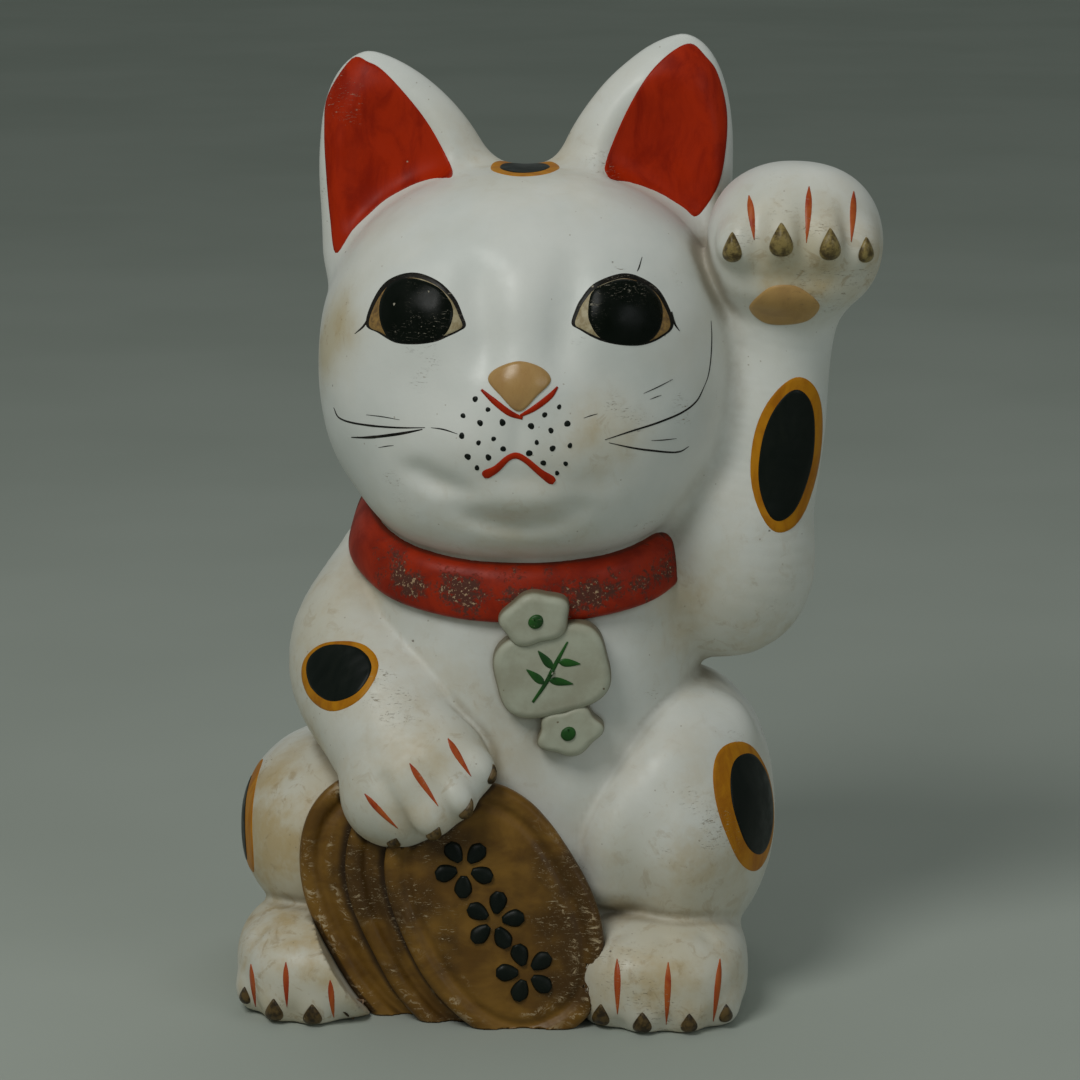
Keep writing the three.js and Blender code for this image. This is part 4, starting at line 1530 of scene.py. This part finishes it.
NOSE = [
    (-11, -0.2), (-8.4, 3.3), (-1.5, 5.7), (5.3, 3.7), (8.3, -0.3), (4.1, -4.6), (-1.5, -9.5), (-7.2, -4.6),
]
film("nose", loop(NOSE), FACE, TAN, height=0.3, dome=0.7)
strokes(
    "nose_edge",
    [
        tapered([(-12.9, -3.2), (-8.7, -6.6), (-4.2, -9.9), (-0.4, -11.5)], 2.2, start=0.4, end=0.5),
        tapered([(10.2, -2.3), (7.9, -4.9), (3.4, -8.2), (-1.0, -10.7)], 2.1, start=0.35, end=0.5),
    ],
    FACE,
    RED,
    height=0.25,
)
MOUTH = [
    (-12.3, -29.7, 1.8), (-11.4, -29.0, 3.2), (-8.4, -27.2, 2.6), (-5.0, -23.9, 2.1), (-2.3, -23.0, 2.2),
    (0.7, -24.5, 2.1), (4.9, -28.3, 2.4), (8.0, -30.7, 3.1), (9.2, -31.6, 2.0),
]
strokes("mouth", [MOUTH], FACE, RED, height=0.35)
DOTS = [
    (-14.8, -6), (-10.9, -8.9), (-18.5, -11.1), (-13.3, -13), (-6.5, -12.7), (-18.9, -17.1), (-13.8, -19),
    (-9.2, -17.7), (-6.3, -20.8), (-17.1, -23.5), (-10.8, -23.5), (-14.3, -27), (10.7, -8.2), (6.3, -10.4),
    (13.2, -13.3), (2.2, -13.8), (8.2, -15.2), (3.9, -18.8), (14, -20), (8.7, -20.7), (1.6, -22.2),
    (5.9, -25.3), (12.7, -25.7), (10.1, -28.7),
]
dots("whisker_dots", DOTS, 0.95, FACE, BLACK)
WHISKERS = [
    ([(-59.5, -14.5), (-57.3, -17.3), (-49.1, -17.4), (-38.8, -16.6), (-30.2, -15.6)], 0.75),
    ([(-28.3, -15.4), (-24.4, -15.6), (-20.2, -16.6)], 0.5),
    ([(-53.7, -22.5), (-47.6, -21.1), (-41.2, -19.3), (-36.1, -17.8), (-31, -16.2)], 1.1),
    ([(-48.7, -14.1), (-43.4, -13.9), (-38.1, -14.1)], 0.35),
    ([(-44.9, -23.9), (-42.4, -23.0), (-40.1, -22.4)], 0.35),
    ([(24.7, -18.9), (32.4, -17.1), (41.8, -15.2), (48.8, -13.2), (53.4, -10.4), (56.0, -6.0)], 0.8),
    ([(55.0, -8.0), (57.0, -3.5), (57.9, 2.0), (58.2, 8.0), (58.0, 13.0)], 0.4),
    ([(25.9, -19.9), (33.3, -22.3), (39.5, -24), (47.4, -25.9), (51, -24.8)], 0.75),
    ([(36.6, -5.9), (40.9, -4.4), (45.6, -2.5)], 0.4),
    ([(38.6, -7.9), (40.4, -7.4), (42.1, -7)], 0.35),
    ([(39.1, -20.7), (43.0, -21.1), (47, -21.3)], 0.4),
    ([(18.2, -11.9), (20.3, -11.3), (22.4, -10.9)], 0.35),
]
strokes("whiskers", [tapered(line, width) for line, width in WHISKERS], FACE, LINE, height=0.1)
BROW_SCRATCH = tapered([(36.2, 34.4), (35.2, 31.6), (34.6, 30.6)], 0.5)
strokes("brow_scratch", [BROW_SCRATCH], FACE, LINE, height=0.1)

# ---------------------------------------------------------------- ears, spots, pad and toe strokes


def ear_and_head(side):
    """The surface that an ear's red lining is painted on."""
    form, softness = SKIN[side + "_ear"]

    def value(x, y, z):
        return blend(form(x, y, z), head(x, y, z), softness) - uneven(x, y, z)

    return value


RIGHT_LINING = [
    (-17.6, 28.6), (-25.3, 17.2), (-26.5, 6.1), (-25.9, -8), (-24.8, -21.6), (-23, -32.4), (-17.5, -25.1),
    (-12.1, -19.9), (-6.7, -15.3), (0.9, -11), (6.4, -8.8), (11.6, -7.5), (14.7, -6.4), (12.4, -1.2),
    (6.4, 9.3), (-1.2, 18.9), (-7.6, 25.3), (-12, 27.7),
]
LEFT_LINING = [
    (14.4, 30.8), (8.2, 28.3), (1.5, 22.1), (-3.9, 13.8), (-8.9, 3.5), (-12.7, -6.5), (-12.4, -9.3),
    (-10, -10.9), (-2.8, -13.1), (4.8, -16.3), (12.2, -20.8), (16.5, -23.6), (21.8, -17.0), (25.0, -8),
    (26.2, 8), (23.2, 21), (19.0, 27),
]
LININGS = (("right", RIGHT_LINING, skin), ("left", LEFT_LINING, ear_and_head("left")))
for side, outline, surface in LININGS:
    lining = loop(outline, steps=5)
    film(side + "_ear_lining", lining, Aim(middle(side + "_ear")), RED, height=0.2, surface=surface)


# Black spots with an ochre rim, rim first: centre, half length, half width and tilt of each.
LEFT_HAUNCH, RIGHT_HAUNCH = middle("left_haunch"), middle("right_haunch")
SPOTS = {
    "forearm": (Aim(middle("raised_arm"), 20), ((3.7, 2.5), 24.5, 12.9, 82), ((2.7, 2.5), 20.8, 9.5, 81)),
    "elbow": (Aim(middle("lowered_arm"), -25), ((-11, 6.2), 15.3, 10.3, 7), ((-10.8, 7.2), 13, 8.3, 3)),
    "left_haunch": (Aim(LEFT_HAUNCH, 35), ((-6.8, 6), 21.9, 16.3, 113), ((-4.5, 6.5), 16.8, 12.7, 110)),
    "right_haunch": (Aim(RIGHT_HAUNCH, -60), ((-2.0, 4.0), 19, 13, 134), ((-5.5, 2.5), 14.5, 8.6, 134)),
    "crown": (Aim(HEAD_AT, 0, 60), ((0, 29), 13.2, 11.2, 90), ((0, 29), 10.0, 8.2, 90)),
}
for name, (aim, rim, black) in SPOTS.items():
    film(name + "_spot_rim", egg(*rim), aim, OCHRE, height=0.12)
    film(name + "_spot_black", egg(*black), aim, BLACK, height=0.24)

PAD = [
    (-14.8, -18.8), (-9.5, -11.9), (-2.5, -10.7), (2.8, -13.1),
    (6.9, -18), (3.7, -23.3), (-4.8, -24.9), (-11, -23.8),
]
film("paw_pad", loop(PAD), Aim(PAW_AT), PAD_BROWN, height=0.25, dome=0.5)


# The red strokes between toes: the middle of their paw, their width, and the upper and lower end of each.
TOE_STROKES = {
    "raised_paw": (
        PAW_AT, 2.4,
        [((-15.3, 16.1), (-14, 3.5)), ((3, 19.1), (1.8, 2.9)), ((17.1, 17), (15.8, 2.7))],
    ),
    "left_foot": (
        middle("left_foot"), 2.3,
        [((-14.9, 6.6), (-14.8, -10.4)), ((0.9, 6.3), (0.4, -13.8)), ((17.2, 5.6), (15.2, -14.1))],
    ),
    "right_foot": (
        middle("right_foot"), 2.1,
        [((-21.6, 2.1), (-20.4, -12.3)), ((-10.1, 5.3), (-9.9, -9.1)), ((3.8, 0.4), (4.7, -12.8))],
    ),
    "lowered_paw": (
        middle("lowered_arm"), 2.2,
        [((-9.4, -24.6), (0.8, -35.2)), ((4.6, -14.6), (13.4, -27.4)), ((16.3, -8.1), (23.5, -19.2))],
    ),
}
for paw, (place, width, ends) in TOE_STROKES.items():
    strokes(paw + "_strokes", [dash(start, end, width) for start, end in ends], Aim(place), ORANGE)

# ---------------------------------------------------------------- generic motifs in place of lettering


def blossom(centre, size, turn, width):
    """Five petals as short thick brush lines."""
    petal = ((0.26, 0.35), (0.5, 0.85), (0.78, 1.0), (1.0, 0.45))  # along a petal: shares of size and width
    lines = []
    for angle in turn + np.arange(5) * 2 * math.pi / 5:
        way = np.array([math.cos(angle), math.sin(angle)])
        lines.append([(*(np.asarray(centre) + way * size * share), width * wide) for share, wide in petal])
    return lines


COIN_FACE = Aim(COIN_PLACES[0], axes=(COIN_ACROSS, COIN_NORMAL))
BLOSSOM_PLACES = ((-2.0, 15.5), (-1.5, -3.5), (-0.5, -22.5))  # across and along the front coin
for number, place in enumerate(BLOSSOM_PLACES):
    motif = blossom(place, size=9.3, turn=0.4 + 0.5 * number, width=5.8)
    strokes(f"coin_blossom_{number + 1}", motif, COIN_FACE, BLACK, height=1.1, surface=whole_coin(0))

PLATE_FACE = Aim(middle("amulet_plate"), axes=(AMULET_RIGHT, FRONT))


def amulet(x, y, z):
    """The three amulet pieces together."""
    return np.minimum(np.minimum(KNOT(x, y, z), PLATE(x, y, z)), DROP(x, y, z))


LEAF_WIDTH = 2.9
LEAVES = (
    ((-3.2, -2.8), (-7.4, 3.0)),
    ((0.6, 1.2), (-2.4, 7.8)),
    ((-1.6, -2.0), (5.4, -5.2)),
    ((2.8, 2.8), (9.2, 0.4)),
)
SPRIG = [
    tapered([(-8.2, -7.6), (-2.8, -2.8), (2.2, 2.8), (7.2, 8.2)], 1.5, start=0.6, end=0.4),
    *[dash(root, tip, LEAF_WIDTH) for root, tip in LEAVES],
]
strokes("amulet_sprig", SPRIG, PLATE_FACE, GREEN, height=0.3, surface=amulet)
BOSSES = (("amulet_upper_boss", (-5.0, 16.6)), ("amulet_lower_boss", (5.1, -19.8)))
for name, (across, down) in BOSSES:
    place = middle("amulet_plate") + (across, 0, down)
    boss = egg((0, 0), 2.5, 2.3, 20, count=28)
    aim = Aim(place, axes=(AMULET_RIGHT, FRONT))
    film(name, boss, aim, GREEN, height=0.4, dome=0.5, surface=amulet)

# ---------------------------------------------------------------- floor, light and camera


def floor():
    """A plain pale floor that the figure stands on."""
    shader = Shader("floor", roughness=0.75, specular=0.2)
    cloudy = shader.noise(3, 3.0)
    colour = shader.mix(shader.band(cloudy, 0.3, 0.7), (0.44, 0.475, 0.43), (0.40, 0.435, 0.39))
    bpy.ops.mesh.primitive_plane_add(size=12)
    ground = bpy.context.object
    ground.name = "floor"
    ground.data.materials.append(shader.finish(colour))


def lamp(name, place, radius, power, colour=(1, 1, 1)):
    """A soft round light at a place in metres."""
    light = bpy.data.lights.new(name, "POINT")
    light.shadow_soft_size = radius
    light.energy = power
    light.color = colour
    made = bpy.data.objects.new(name, light)
    made.location = place
    bpy.context.scene.collection.objects.link(made)


def studio():
    """A large soft light from the upper left, weak ones from the right and above, and a pale surrounding."""
    lamp("key_light", (-0.48, -0.73, 1.08), radius=0.27, power=25, colour=(0.99, 1.0, 0.97))
    lamp("fill_light", (1.1, -1.0, 0.7), radius=0.4, power=8, colour=(0.92, 0.97, 1.0))
    lamp("top_light", (0.2, 0.6, 1.3), radius=0.4, power=5)
    world = bpy.data.worlds.new("surrounding")
    world.use_nodes = True
    world.node_tree.nodes["Background"].inputs["Color"].default_value = (0.45, 0.5, 0.47, 1)
    world.node_tree.nodes["Background"].inputs["Strength"].default_value = 0.33
    bpy.context.scene.world = world
    bpy.context.scene.view_settings.view_transform = "Standard"


CAMERA_ELEVATION = math.radians(12)
CAMERA_DISTANCE = 1300
AIMED_AT = (0.475, 0.504, 0.465)  # the point it looks at, as shares of the object's box
LENS = 134.2


def camera():
    """The camera in front of the figure and a little above it."""
    low, high = (np.array(tuple(corner)) / MM for corner in CAD_BOUNDS)
    target = low + np.array(AIMED_AT) * (high - low)
    back = np.array([0, -math.cos(CAMERA_ELEVATION), math.sin(CAMERA_ELEVATION)])
    data = bpy.data.cameras.new("camera")
    data.lens = LENS
    made = bpy.data.objects.new("camera", data)
    made.location = (target + CAMERA_DISTANCE * back) * MM
    made.rotation_euler = Vector(back).to_track_quat("Z", "Y").to_euler()
    bpy.context.scene.collection.objects.link(made)
    bpy.context.scene.camera = made


floor()
studio()
camera()
